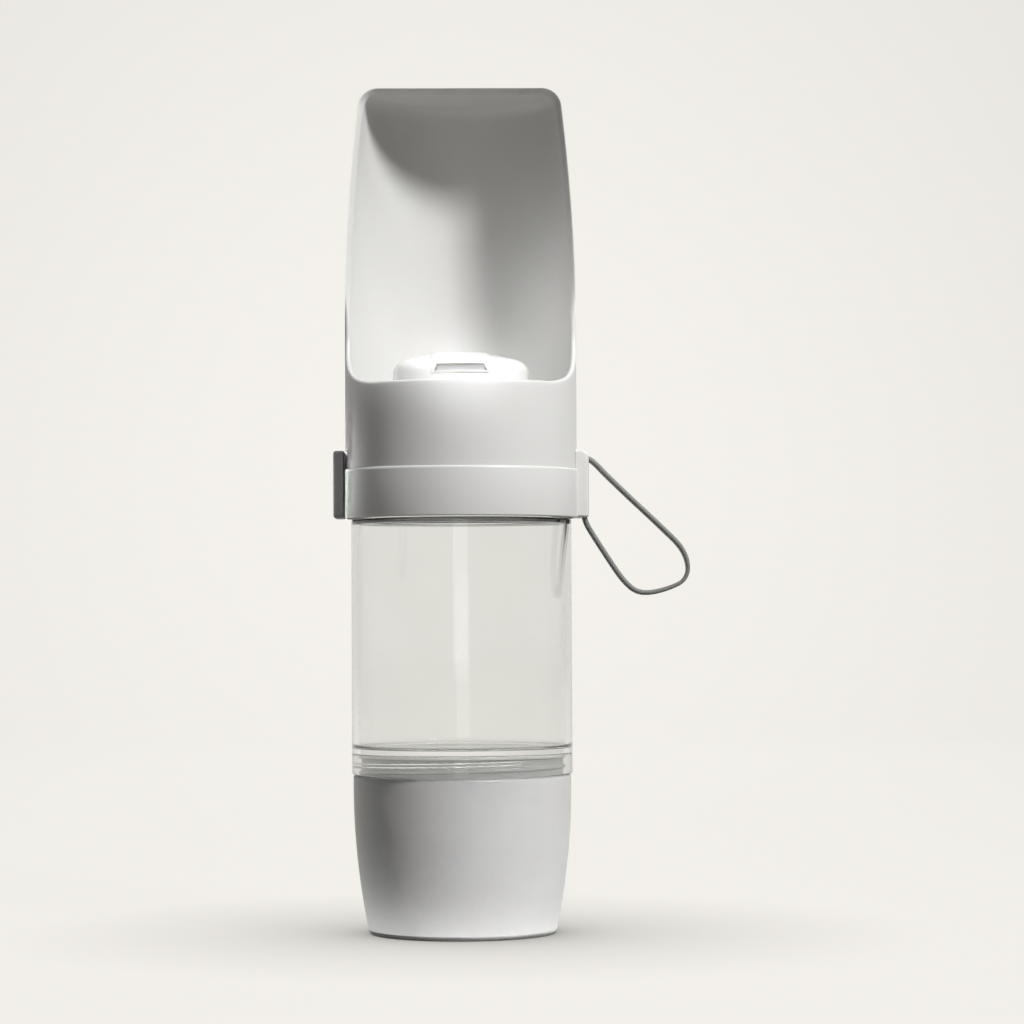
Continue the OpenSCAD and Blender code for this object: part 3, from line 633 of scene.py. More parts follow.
@dataclass(frozen=True)
class ClearCopolyester(Finish):
    """Clear moulded copolyester: it bends light at its walls and has a faint smoky tint."""

    roughness: float = 0.04
    ior: float = 1.45
    ripple: float = 14.0
    ripple_depth: float = 0.001
    skin: float = 0.9

    def material(self) -> Material:
        """Build the material.

        Returns:
            See-through material with the slight waviness of a moulded wall.
        """
        finish, tree, place = new_material(self.name)
        broad = {"Vector": place, "Scale": 1 / (self.ripple * MM), "Detail": 1.0}
        wave = add_node(tree, "ShaderNodeTexNoise", broad)
        relief = {"Strength": 0.4, "Distance": self.ripple_depth * MM, "Height": wave}
        parts = {
            "Roughness": self.roughness,
            "IOR": self.ior,
            "Transmission Weight": 1.0,
            "Specular IOR Level": self.skin,
            "Normal": add_node(tree, "ShaderNodeBump", relief),
        }
        return self.closed(finish, wave, parts)


@dataclass(frozen=True)
class MouldedSilicone(Finish):
    """Moulded silicone rubber: soft and matt, with a dusty bloom."""

    roughness: float = 0.55
    subsurface: float = 0.0
    depths: Place = (0.8, 0.8, 0.7)
    # Real dust is finer than 0.1 mm; its specks are drawn coarser, so that a picture can hold them
    speck: float = 1.4
    speck_depth: float = 0.008

    def material(self) -> Material:
        """Build the material.

        Returns:
            Matt rubber whose bloom follows the surface.
        """
        finish, tree, place = new_material(self.name)
        dust = {"Vector": place, "Scale": 1 / (self.speck * MM), "Detail": 4.0, "Roughness": 0.6}
        speck = add_node(tree, "ShaderNodeTexNoise", dust)
        spread = add_node(tree, "ShaderNodeMapRange", {"Value": speck, "From Min": 0.35, "From Max": 0.75})
        relief = {"Strength": 0.4, "Distance": self.speck_depth * MM, "Height": speck}
        parts = {
            "Roughness": self.roughness,
            "IOR": 1.41,
            "Subsurface Weight": self.subsurface,
            "Subsurface Radius": [d * MM for d in self.depths],
            "Sheen Weight": 0.08,
            "Sheen Roughness": 0.4,
            "Normal": add_node(tree, "ShaderNodeBump", relief),
        }
        return self.closed(finish, spread, parts)


@dataclass(frozen=True)
class BrightSteel(Finish):
    """Stainless steel, drawn or turned: bright, with fine lines."""

    # Real drawing lines are some hundredths of a millimetre apart; they are drawn coarser
    line: float = 0.35
    stretch: float = 6.0

    def material(self) -> Material:
        """Build the material.

        Returns:
            Metal whose drawing lines vary its gloss.
        """
        finish, tree, place = new_material(self.name)
        stretched = add_node(tree, "ShaderNodeMapping", {"Vector": place, "Scale": (1, 1, self.stretch)})
        drawn = {"Vector": stretched, "Scale": 1 / (self.line * MM), "Detail": 2.0}
        line = add_node(tree, "ShaderNodeTexNoise", drawn)
        gloss = add_node(tree, "ShaderNodeMapRange", {"Value": line, "To Min": 0.18, "To Max": 0.38})
        return self.closed(finish, line, {"Roughness": gloss, "Metallic": 1.0})


def made(recipe: Finish) -> Material:
    """Field of Finishes that holds the material of a recipe."""
    return field(default_factory=recipe.material)


@dataclass
class Finishes:
    """The bottle's materials, each named for the real one."""

    # Satin moulded ABS: even light grey, a soft broad highlight
    shell: Material = made(MouldedPlastic("moulded_abs_light_grey", "#dededc", "#dad9d7"))
    # Moulded polypropylene: a little duller and cooler than the shell
    cup: Material = made(MouldedPlastic("moulded_polypropylene_grey", "#c0c1c0", "#bbbcbb", 0.46))
    # Gloss moulded ABS: polished tool, so sharp white highlights
    cover: Material = made(
        MouldedPlastic(
            "gloss_abs_white", "#f9f9f7", "#f6f6f4", 0.2, sheen_spread=0.03, grain_depth=0.003, subsurface=0.4
        )
    )
    # Dark moulded ABS with a spark-eroded grain
    button: Material = made(
        MouldedPlastic("moulded_abs_dark_grey", "#6b6c6b", "#656665", 0.5, grain=0.7, grain_depth=0.03)
    )
    # Acetal: waxy white, used where parts slide
    acetal: Material = made(MouldedPlastic("turned_acetal_white", "#eeeeea", "#e8e8e3", 0.35))
    # Clear copolyester: bright and hard, its walls a little wavy from the mould
    clear: Material = made(ClearCopolyester("clear_copolyester", "#f4f5f4", "#f1f2f1"))
    # Milky silicone: light goes a little way in
    seal: Material = made(MouldedSilicone("moulded_silicone_milky", "#e4e4df", "#eeeeea", subsurface=0.25))
    # Dark grey silicone band: matt, with a dusty bloom
    strap: Material = made(MouldedSilicone("moulded_silicone_dark_grey", "#767875", "#828480", 0.5))
    # Stainless spring wire and screws: bright, with drawing lines
    steel: Material = made(BrightSteel("stainless_spring_wire", "#c9cbce", "#aeb1b5"))


@dataclass(frozen=True)
class Softbox:
    """Studio light: place and aim in metres, size in metres, power in watts."""

    name: str
    place: Place
    aim: Place
    size: Point
    power: float
    spread: float = 180.0
    round: bool = False
    lighting: bool = True
    mirrored: bool = False

    def hang(self) -> None:
        """Put the light in the scene."""
        lamp = bpy.data.lights.new(self.name, "AREA")
        lamp.shape = "ELLIPSE" if self.round else "RECTANGLE"
        lamp.size, lamp.size_y = self.size
        lamp.energy = self.power
        lamp.spread = math.radians(self.spread)
        holder = bpy.data.objects.new(self.name, lamp)
        bpy.context.scene.collection.objects.link(holder)
        holder.location = self.place
        holder.rotation_euler = (Vector(self.aim) - Vector(self.place)).to_track_quat("-Z", "Y").to_euler()
        holder.visible_camera = False
        holder.visible_diffuse = self.lighting
        holder.visible_glossy = self.mirrored
        holder.visible_transmission = self.mirrored


@dataclass
class Studio:
    """Camera, pale sweep and soft lights, in metres and degrees."""

    camera_place: Place = (0.0, -1.05, 0.1017)
    lens: float = 116.1
    sensor: float = 36.0
    pitch: float = 1.72
    yaw: float = -0.88
    roll: float = -0.27
    nearest: float = 0.05
    sweep_glow_colour: str = "#fdfaf4"
    sweep_shade: str = "#7f7d7a"
    sweep_glow: float = 0.88
    sweep_middle: Place = (0.0, 0.25, 0.25)
    sweep_scale: Place = (1.0, 0.12, 1.0)
    # Painted light falloff: share of the paper's glow in the middle and far out, and how far out in metres
    sweep_painted_falloff: Place = (1.05, 0.88, 1.1)
    # Reach in metres and samples of the painted contact shadow in the paper's glow
    painted_shadow_reach: float = 0.12
    painted_shadow_samples: int = 12
    room_dim: tuple[str, float] = ("#f2f4f8", 0.012)
    room_pale: tuple[str, float] = ("#fbfaf7", 1.0)
    # The small lights with a narrow spread lift one place each, as a photographer's cards do
    lights: tuple[Softbox, ...] = (
        Softbox("key_softbox", (0.709, -0.761, 1.03), (0, 0, 0.15), (0.22, 0.22), 18.2, mirrored=True),
        Softbox("top_strip", (0, -0.35, 1.2), (0, 0, 0.2), (0.5, 0.12), 0.32, 60, mirrored=True),
        Softbox("right_fill", (1.2, -0.1, 0.35), (0, 0, 0.14), (0.5, 0.9), 1.0),
        Softbox("left_rim", (-0.83, 0.75, 0.25), (0, 0, 0.14), (0.4, 0.9), 2.9),
        Softbox("back_fill", (0.35, 1.3, 0.7), (0, 0, 0.14), (0.8, 0.8), 2.5),
        Softbox(
            "front_strip", (-0.03, -1.35, 0.16), (0, 0, 0.16), (0.36, 0.9), 1.1, lighting=False, mirrored=True
        ),
        Softbox("left_kicker", (-0.42, -0.12, 0.15), (-0.037, 0, 0.142), (0.015, 0.03), 0.003, 6),
        Softbox("foot_card", (-0.004, 0, 0.0014), (-0.004, 0, 0.1), (0.084, 0.084), 0.024, round=True),
        Softbox("cup_fill", (0.68, -0.79, 0.12), (0, 0, 0.02), (0.1, 0.03), 0.011, 7),
        Softbox("slot_fill", (0, -0.6, 0.2), (0, -0.02, 0.178), (0.012, 0.012), 0.0008, 4),
        Softbox("scoop_fill", (-0.22, -0.5, 0.36), (0.024, 0, 0.192), (0.03, 0.03), 0.0028, 9),
        Softbox("dome_fill", (-0.12, -0.2, 0.27), (-0.008, -0.005, 0.18), (0.02, 0.02), 0.0011, 11),
        Softbox("backdrop_wash", (0, 0.5, 1.9), (0, 1.7, 0.4), (2.0, 0.5), 4.0, 75, mirrored=True),
    )

    def set_camera(self) -> None:
        """Stand the camera where the photograph was taken."""
        lens = bpy.data.cameras.new("camera")
        lens.lens = self.lens
        lens.sensor_width = self.sensor
        lens.sensor_fit = "HORIZONTAL"
        lens.clip_start = self.nearest
        camera = bpy.data.objects.new("camera", lens)
        bpy.context.scene.collection.objects.link(camera)
        turn = (
            Matrix.Rotation(math.radians(self.yaw), 4, "Z")
            @ Matrix.Rotation(math.radians(90 + self.pitch), 4, "X")
            @ Matrix.Rotation(math.radians(self.roll), 4, "Z")
        )
        camera.matrix_world = Matrix.Translation(self.camera_place) @ turn
        bpy.context.scene.camera = camera

    @staticmethod
    def looked_at(tree: Tree) -> Node:
        """Tell whether a ray looks at the studio, straight, in a reflection or through clear plastic.

        Args:
            tree: node tree that asks.

        Returns:
            Node that gives 1 for such a ray and 0 for one that only gathers light.
        """
        path = add_node(tree, "ShaderNodeLightPath").outputs
        rays = {0: path["Is Camera Ray"], 1: path["Is Transmission Ray"]}
        straight = add_node(tree, "ShaderNodeMath", rays, operation="MAXIMUM")
        return add_node(tree, "ShaderNodeMath", {0: straight, 1: path["Is Glossy Ray"]}, operation="MAXIMUM")

    def lay_sweep(self) -> None:
        """Lay the pale floor, which curves up into a wall behind the bottle; its glow holds a painted falloff
        and a painted contact shadow.
        """
        half_w, front, bend_y, bend_r, top, steps = 2.6, -2.6, 1.5, 0.6, 2.6, 24
        line = [(front, 0.0), (bend_y, 0.0)]
        line += arc(bend_y, bend_r, bend_r, -90, 0, steps)[1:] + [(bend_y + bend_r, top)]
        points = [(x / MM, y / MM, z / MM) for y, z in line for x in (-half_w, half_w)]
        faces = [(2 * i, 2 * i + 1, 2 * i + 3, 2 * i + 2) for i in range(len(line) - 1)]
        paper, tree, place = new_material("seamless_paper")
        matt = add_node(tree, "ShaderNodeBsdfDiffuse", {"Color": linear(self.sweep_shade)})
        flat = add_node(tree, "ShaderNodeVectorMath", {0: place, 1: self.sweep_scale}, operation="MULTIPLY")
        apart = add_node(tree, "ShaderNodeVectorMath", {0: flat, 1: self.sweep_middle}, operation="DISTANCE")
        # Painted light falloff: the paper's glow is made darker far from its middle, as light falls off
        middle, edge, far = self.sweep_painted_falloff
        reach = {"Value": apart.outputs["Value"], "From Max": far, "To Min": middle, "To Max": edge}
        fall = add_node(tree, "ShaderNodeMapRange", reach, interpolation_type="SMOOTHSTEP")
        # Painted contact shadow: ambient occlusion darkens the paper's glow near the bottle
        contact = {"Distance": self.painted_shadow_reach}
        near = add_node(tree, "ShaderNodeAmbientOcclusion", contact, samples=self.painted_shadow_samples)
        shades = {0: fall, 1: near.outputs["AO"]}
        strength = add_node(tree, "ShaderNodeMath", shades, operation="MULTIPLY")
        light = {"Color": linear(self.sweep_glow_colour), "Strength": strength}
        glow = add_node(tree, "ShaderNodeEmission", light)
        shares = {0: self.looked_at(tree), 1: self.sweep_glow}
        part = add_node(tree, "ShaderNodeMath", shares, operation="MULTIPLY")
        mixed = add_node(tree, "ShaderNodeMixShader", {0: part, 1: matt, 2: glow})
        add_node(tree, "ShaderNodeOutputMaterial", {"Surface": mixed})
        sweep = make_piece("sweep", points, faces, paper)
        sweep.data.polygons.foreach_set("use_smooth", [True] * len(sweep.data.polygons))

    def light(self) -> None:
        """Hang the lights, and set the room that the other views look into."""
        for softbox in self.lights:
            softbox.hang()
        room = bpy.data.worlds.new("room")
        room.use_nodes = True
        tree = room.node_tree
        tree.nodes.clear()
        dim, pale = (
            add_node(tree, "ShaderNodeBackground", {"Color": linear(code), "Strength": strength})
            for code, strength in (self.room_dim, self.room_pale)
        )
        mixed = add_node(tree, "ShaderNodeMixShader", {0: self.looked_at(tree), 1: dim, 2: pale})
        add_node(tree, "ShaderNodeOutputWorld", {"Surface": mixed})
        bpy.context.scene.world = room
        bpy.context.scene.view_settings.view_transform = "Standard"


@dataclass
class WristStrap:
    """Flat silicone band from the lug's outer face to its underside."""

    finish: Material
    width: float = 6.0
    leg_thickness: float = 1.6
    bend_thickness: float = 1.1
    # Share of the length over which the band gets thinner at its bend
    bend_share: float = 0.09
    hollow: float = 0.12
    # Rows of points over a face, as shares of its half width
    face_rows: tuple[float, ...] = (0.8, 0.5, 0.0, -0.5, -0.8)
    edge_steps: int = 5
    smoothing: int = 4
    length: float = 100.0
    route: tuple[Point, ...] = (
        (38.5, 150.0), (40.4, 150.0), (42.5, 148.6), (46.0, 145.0), (50.4, 140.7), (55.0, 136.3),
        (60.0, 131.6), (65.0, 126.8), (68.4, 123.4), (70.6, 120.3), (71.8, 116.9), (71.8, 113.7),
        (70.2, 111.0), (67.0, 109.3), (62.5, 107.9), (58.6, 107.4), (55.6, 108.0), (53.0, 109.8),
        (50.0, 113.3), (46.0, 119.3), (42.6, 124.6), (40.2, 128.6), (39.2, 131.3), (39.2, 133.1),
    )  # fmt: skip

    def centres(self) -> list[Vector]:
        """Points of the band's middle line, smoothed between the route's points.

        Returns:
            Places in mm, in the plane y = 0.
        """
        knots = [Vector((x, 0, z)) for x, z in self.route]
        line: list[Vector] = []
        for i in range(len(knots) - 1):
            before, here, after = knots[max(i - 1, 0)], knots[i], knots[i + 1]
            beyond = knots[min(i + 2, len(knots) - 1)]
            square = 2 * before - 5 * here + 4 * after - beyond
            cube = 3 * here - before - 3 * after + beyond
            for k in range(self.smoothing):
                t = k / self.smoothing
                line.append(0.5 * (2 * here + (after - before) * t + square * t**2 + cube * t**3))
        return line + [knots[-1]]

    def section(self, thickness: float) -> list[Point]:
        """Outline of the band, across and through it.

        Args:
            thickness: of the band there.

        Returns:
            Points round the section, its edges rounded and its faces a little hollow.
        """
        w, t = self.width / 2, thickness / 2
        edge = arc(w - t, 0, t, -90, 90, 2 * self.edge_steps)
        face = [(x * (w - t), t - self.hollow * (1 - x**2)) for x in self.face_rows]
        half = edge + face
        return half + [(-x, -z) for x, z in half]

    def build(self) -> None:
        line = self.centres()
        rings = []
        for i, here in enumerate(line):
            ahead = (line[min(i + 1, len(line) - 1)] - line[max(i - 1, 0)]).normalized()
            out = Vector((-ahead.z, 0, ahead.x))
            share = i / (len(line) - 1)
            bend = math.exp(-(((share - 0.5) / self.bend_share) ** 2))
            thickness = self.leg_thickness + (self.bend_thickness - self.leg_thickness) * bend
            rings.append([here + Vector((0, x, 0)) + out * z for x, z in self.section(thickness)])
        strap = lofted("wrist_strap_band", rings, self.finish)
        dress(strap, Body.HEAD, "wrist_strap")


@dataclass
class DrinkingTrough:
    """Scoop with a tall window: one wall, a closed top, a basin floor and a rolled rim."""

    finish: Material
    r: float = 36.8
    wall: float = 1.7
    low_z: float = 146.8
    straight_z: float = 190.0
    arc_r: float = 621.8
    arc_top_z: float = 263.0
    top_z: float = 268.7
    sill_z: float = 173.3
    corner_w: float = 27.8
    corner_h: float = 18.0
    floor_z: float = 158.5
    floor_t: float = 2.0
    # Radius of the basin's row of points between its wall and its hole
    floor_r: float = 24.0
    fillet: float = 1.5
    hole_r: float = 12.0
    foot_chamfer: float = 0.3
    notch: Box = ((-45, -7.8, 140), (-33.2, 7.8, 152.9))
    sill_steps: int = 72
    corner_steps: int = 22
    back_steps: int = 120
    low_rows: int = 16
    rim_steps: int = 8
    wall_steps: int = 30
    top_steps: int = 14
    # Rings between the top's round and its middle, and angles of the fillet's rows
    top_rings: Place = (0.75, 0.5, 0.25)
    fillet_turns: tuple[float, ...] = (22, 45, 67, 90)
    # The rim is half-round at the sill and goes over to a flatter roll between these heights
    bevel: float = 2.6
    bevel_z: Point = (192.0, 204.0)
    bevel_flat: float = 0.85

    def bevelled(self, z: float) -> float:
        """Share of the flat roll in the window's edge.

        Args:
            z: height on the edge in mm.

        Returns:
            0 for a half-round and 1 for the full roll.
        """
        low, high = self.bevel_z
        return min(max((z - low) / (high - low), 0.0), 1.0)

    def columns(self) -> list[Point]:
        """Columns of the wall, in order round the axis: the back's first, then those under the window.

        Returns:
            Angle, and height of the window's edge there.
        """
        corner_a = self.corner_w / self.r
        sill = self.sill_z - self.wall / 2
        columns = [(math.pi * i / self.back_steps, sill + self.corner_h) for i in range(self.back_steps + 1)]
        falls = [math.pi / 2 * (1 - i / self.corner_steps) for i in range(1, self.corner_steps + 1)]
        corner = [
            (corner_a * (1 - math.sin(f)), sill + self.corner_h * (1 - math.cos(f))) for f in falls
        ]
        columns += [(math.pi + a, z) for a, z in corner]
        start, span = math.pi + corner_a, math.pi - 2 * corner_a
        columns += [(start + span * i / self.sill_steps, sill) for i in range(1, self.sill_steps)]
        return columns + [(math.tau - a, z) for a, z in reversed(corner)]

    def rise(self, inset: float) -> list[Point]:
        """Profile from the window's highest corner to the middle of the top.

        Args:
            inset: distance inside the outer face.

        Returns:
            Radius and height of its points.
        """
        start_z = self.sill_z - self.wall / 2 + self.corner_h
        centre_r = self.r - self.arc_r
        first, last = (
            math.degrees(math.asin((z - self.straight_z) / self.arc_r)) for z in (start_z, self.arc_top_z)
        )
        wall = arc(centre_r, self.straight_z, self.arc_r - inset, first, last, self.wall_steps)
        edge_r = centre_r + self.arc_r * math.cos(math.radians(last))
        round_r = (self.top_z - self.arc_top_z) / (1 - math.sin(math.radians(last)))
        cx = edge_r - round_r * math.cos(math.radians(last))
        top = arc(cx, self.top_z - round_r, round_r - inset, last, 90, self.top_steps)[1:]
        flat = [(top[-1][0] * share, top[-1][1]) for share in self.top_rings]
        return wall + top + flat

    def build(self) -> None:
        """Build the trough as one closed mesh and notch it for the button."""
        columns = self.columns()
        points: list[Place] = []
        faces: list[list[int]] = []

        def at(r: float, turn: float, z: float) -> int:
            """Add a point and give its number."""
            points.append((r * math.cos(turn), r * math.sin(turn), z))
            return len(points) - 1

        outer, inner = [], []
        in_r = self.r - self.wall
        inner_low = self.floor_z + self.fillet
        for row in range(self.low_rows + 1):
            t = row / self.low_rows
            outer.append([at(self.r, a, self.low_z + (z - self.low_z) * t) for a, z in columns])
            inner.append([at(in_r, a, inner_low + (z - inner_low) * t) for a, z in columns])
        for sheet in (outer, inner):
            for first, second in zip(sheet, sheet[1:]):
                skin(faces, first, second)
        loops = []
        for sheet, inset in ((outer, 0.0), (inner, self.wall)):
            rows = [sheet[-1][: self.back_steps + 1]]
            bevel = self.bevel if inset else 0.0
            for r, z in self.rise(inset)[1:]:
                start = math.asin(bevel * self.bevelled(z) / r)
                share = 1 - 2 * start / math.pi
                rows.append([at(r, start + turn * share, z) for turn, _ in columns[: self.back_steps + 1]])
            for first, second in zip(rows, rows[1:]):
                skin(faces, first, second, closed=False)
            pole = at(bevel, math.pi / 2, self.top_z - inset)
            for j in range(self.back_steps):
                faces.append([rows[-1][j], rows[-1][j + 1], pole])
            down = [row[0] for row in reversed(rows)]
            up = [row[-1] for row in rows]
            front = list(reversed(sheet[-1][self.back_steps + 1 :]))
            loops.append([pole] + down + front + up)
        self.roll_rim(points, faces, loops[0], loops[1])
        turns = [math.radians(a) for a in self.fillet_turns]
        under = self.floor_z - self.floor_t
        line = [
            (in_r - self.fillet * (1 - math.cos(a)), self.floor_z + self.fillet * (1 - math.sin(a)))
            for a in turns
        ]
        line += [(self.floor_r, self.floor_z), (self.hole_r, self.floor_z), (self.hole_r, under)]
        line += [(in_r, under), (in_r, self.low_z + self.foot_chamfer)]
        line += [(in_r + self.foot_chamfer, self.low_z), (self.r - self.foot_chamfer, self.low_z)]
        last = inner[0]
        for r, z in line:
            row = [at(r, a, z) for a, _ in columns]
            skin(faces, last, row)
            last = row
        skin(faces, last, outer[0])
        shell = smooth(make_piece("trough", points, faces, self.finish))
        combine(shell, cutter(*self.notch), "DIFFERENCE")
        dress(shell, Body.HEAD, "trough_shell")

    def roll_rim(
        self, points: list[Place], faces: list[list[int]], outer: Sequence[int], inner: Sequence[int]
    ) -> None:
        """Close the window's edge with a rim that bulges outwards.

        Args:
            points: places of the vertices, which grow.
            faces: faces, which grow.
            outer: vertices of the edge on the outer face, in order round the window.
            inner: the same on the inner face.
        """
        n = len(outer)
        middles = [(Vector(points[a]) + Vector(points[b])) / 2 for a, b in zip(outer, inner)]
        rows = [list(outer)] + [[] for _ in range(self.rim_steps - 1)] + [list(inner)]
        for i in range(n):
            along = (middles[(i + 1) % n] - middles[i - 1]).normalized()
            through = Vector(points[outer[i]]) - Vector(points[inner[i]])
            half = through.length / 2
            through.normalize()
            away = along.cross(through) * (1 - self.bevel_flat * self.bevelled(middles[i].z))
            for k in range(1, self.rim_steps):
                a = math.pi * k / self.rim_steps
                p = middles[i] + half * (through * math.cos(a) + away * math.sin(a))
                points.append(tuple(p))
                rows[k].append(len(points) - 1)
        for first, second in zip(rows, rows[1:]):
            skin(faces, first, second)


@dataclass
class OutletCover:
    """Gloss white dome over the valve, with a hooded slot that faces the window."""

    finish: Material
    r: float = 21.6
    wall: float = 1.6
    low_z: float = 158.5
    edge_z: float = 177.35
    edge_round: float = 4.0
    crown_r: float = 66.0
    crown_z: float = 117.9
    crown_angle: float = 16.49
    hood_proud: float = 0.6
    hood_half_w: float = 9.2
    hood_low_z: float = 175.9
    hood_back_y: float = -9.72
    hood_soft: float = 0.7
    slot_top_w: float = 14.6
    slot_low_w: float = 16.1
    slot_z: float = 176.9
    slot_h: float = 2.0
    # The slot's tool starts this far in front of the dome
    slot_reach: float = 4.0
    side_rows: int = 9
    edge_steps: int = 14
    crown_steps: int = 24
    # White plate behind the slot, so that the slot isn't a black hole
    baffle: Box = ((-7.6, -17.4, 173.6), (7.6, -16.4, 180.6))

    def outline(self, inset: float) -> list[Point]:
        """Outer or inner line of the dome, from its side to its middle.

        Args:
            inset: distance inside the outer face.

        Returns:
            Radius and height of its points.
        """
        plain_z = self.hood_low_z - 1
        rows = [plain_z + (self.edge_z - plain_z) * i / self.side_rows for i in range(self.side_rows + 1)]
        side = [(self.r - inset, z) for z in (self.low_z, *rows)]
        edge_end = 90 - self.crown_angle
        soft = self.edge_round
        edge = arc(self.r - soft, self.edge_z, soft - inset, 0, edge_end, self.edge_steps)
        crown = arc(0, self.crown_z, self.crown_r - inset, edge_end, 90, self.crown_steps)
        return side + edge[1:] + crown[1:-1] + [(0.0, self.crown_z + self.crown_r - inset)]

    def surface(self, x: float, y: float, z: float) -> tuple[float, Vector]:
        """Find how deep a point lies in the dome.

        Args:
            x: place of the point in mm.
            y: place of the point in mm.
            z: place of the point in mm.

        Returns:
            Depth under the outer face in mm, and the way out.
        """
        out = Vector((x, y, 0)).normalized()
        if z < self.edge_z:
            return self.r - math.hypot(x, y), out
        crown = Vector((x, y, z - self.crown_z))
        if math.degrees(crown.angle(Vector((0, 0, 1)))) < self.crown_angle:
            return self.crown_r - crown.length, crown.normalized()
        edge = crown - out * (self.r - self.edge_round) - Vector((0, 0, self.edge_z - self.crown_z))
        return self.edge_round - edge.length, edge.normalized()

    def raise_hood(self, cover: Piece) -> None:
        """Raise the hood out of the dome, with a soft border.

        Args:
            cover: the dome, its slot already cut.
        """
        for vertex in cover.data.vertices:
            x, y, z = (c / MM for c in vertex.co)
            depth, out = self.surface(x, y, z)
            if depth > self.wall / 2:
                continue
            share = 1.0
            for inside in (self.hood_half_w - abs(x), z - self.hood_low_z, self.hood_back_y - y):
                s = min(max(inside / self.hood_soft, 0.0), 1.0)
                share *= s * s * (3 - 2 * s)
            vertex.co += out * (share * self.hood_proud * MM)

    def build(self) -> None:
        """Build the dome, cut its slot, raise its hood and set the baffle behind the slot."""
        outline = self.outline(0) + list(reversed(self.outline(self.wall)))
        cover = turned("outlet_dome", outline, self.finish)
        low, high = self.slot_z, self.slot_z + self.slot_h
        w, v = self.slot_low_w / 2, self.slot_top_w / 2
        ends = (-self.r - self.slot_reach, -self.r / 2)
        rings = [[(-w, y, low), (w, y, low), (v, y, high), (-v, y, high)] for y in ends]
        combine(cover, lofted("cutter", rings, self.finish), "DIFFERENCE")
        self.raise_hood(cover)
        smooth(cover, outwards=False)
        combine(cover, cutter(*self.baffle), "UNION")
        dress(cover, Body.HEAD, "outlet_cover")


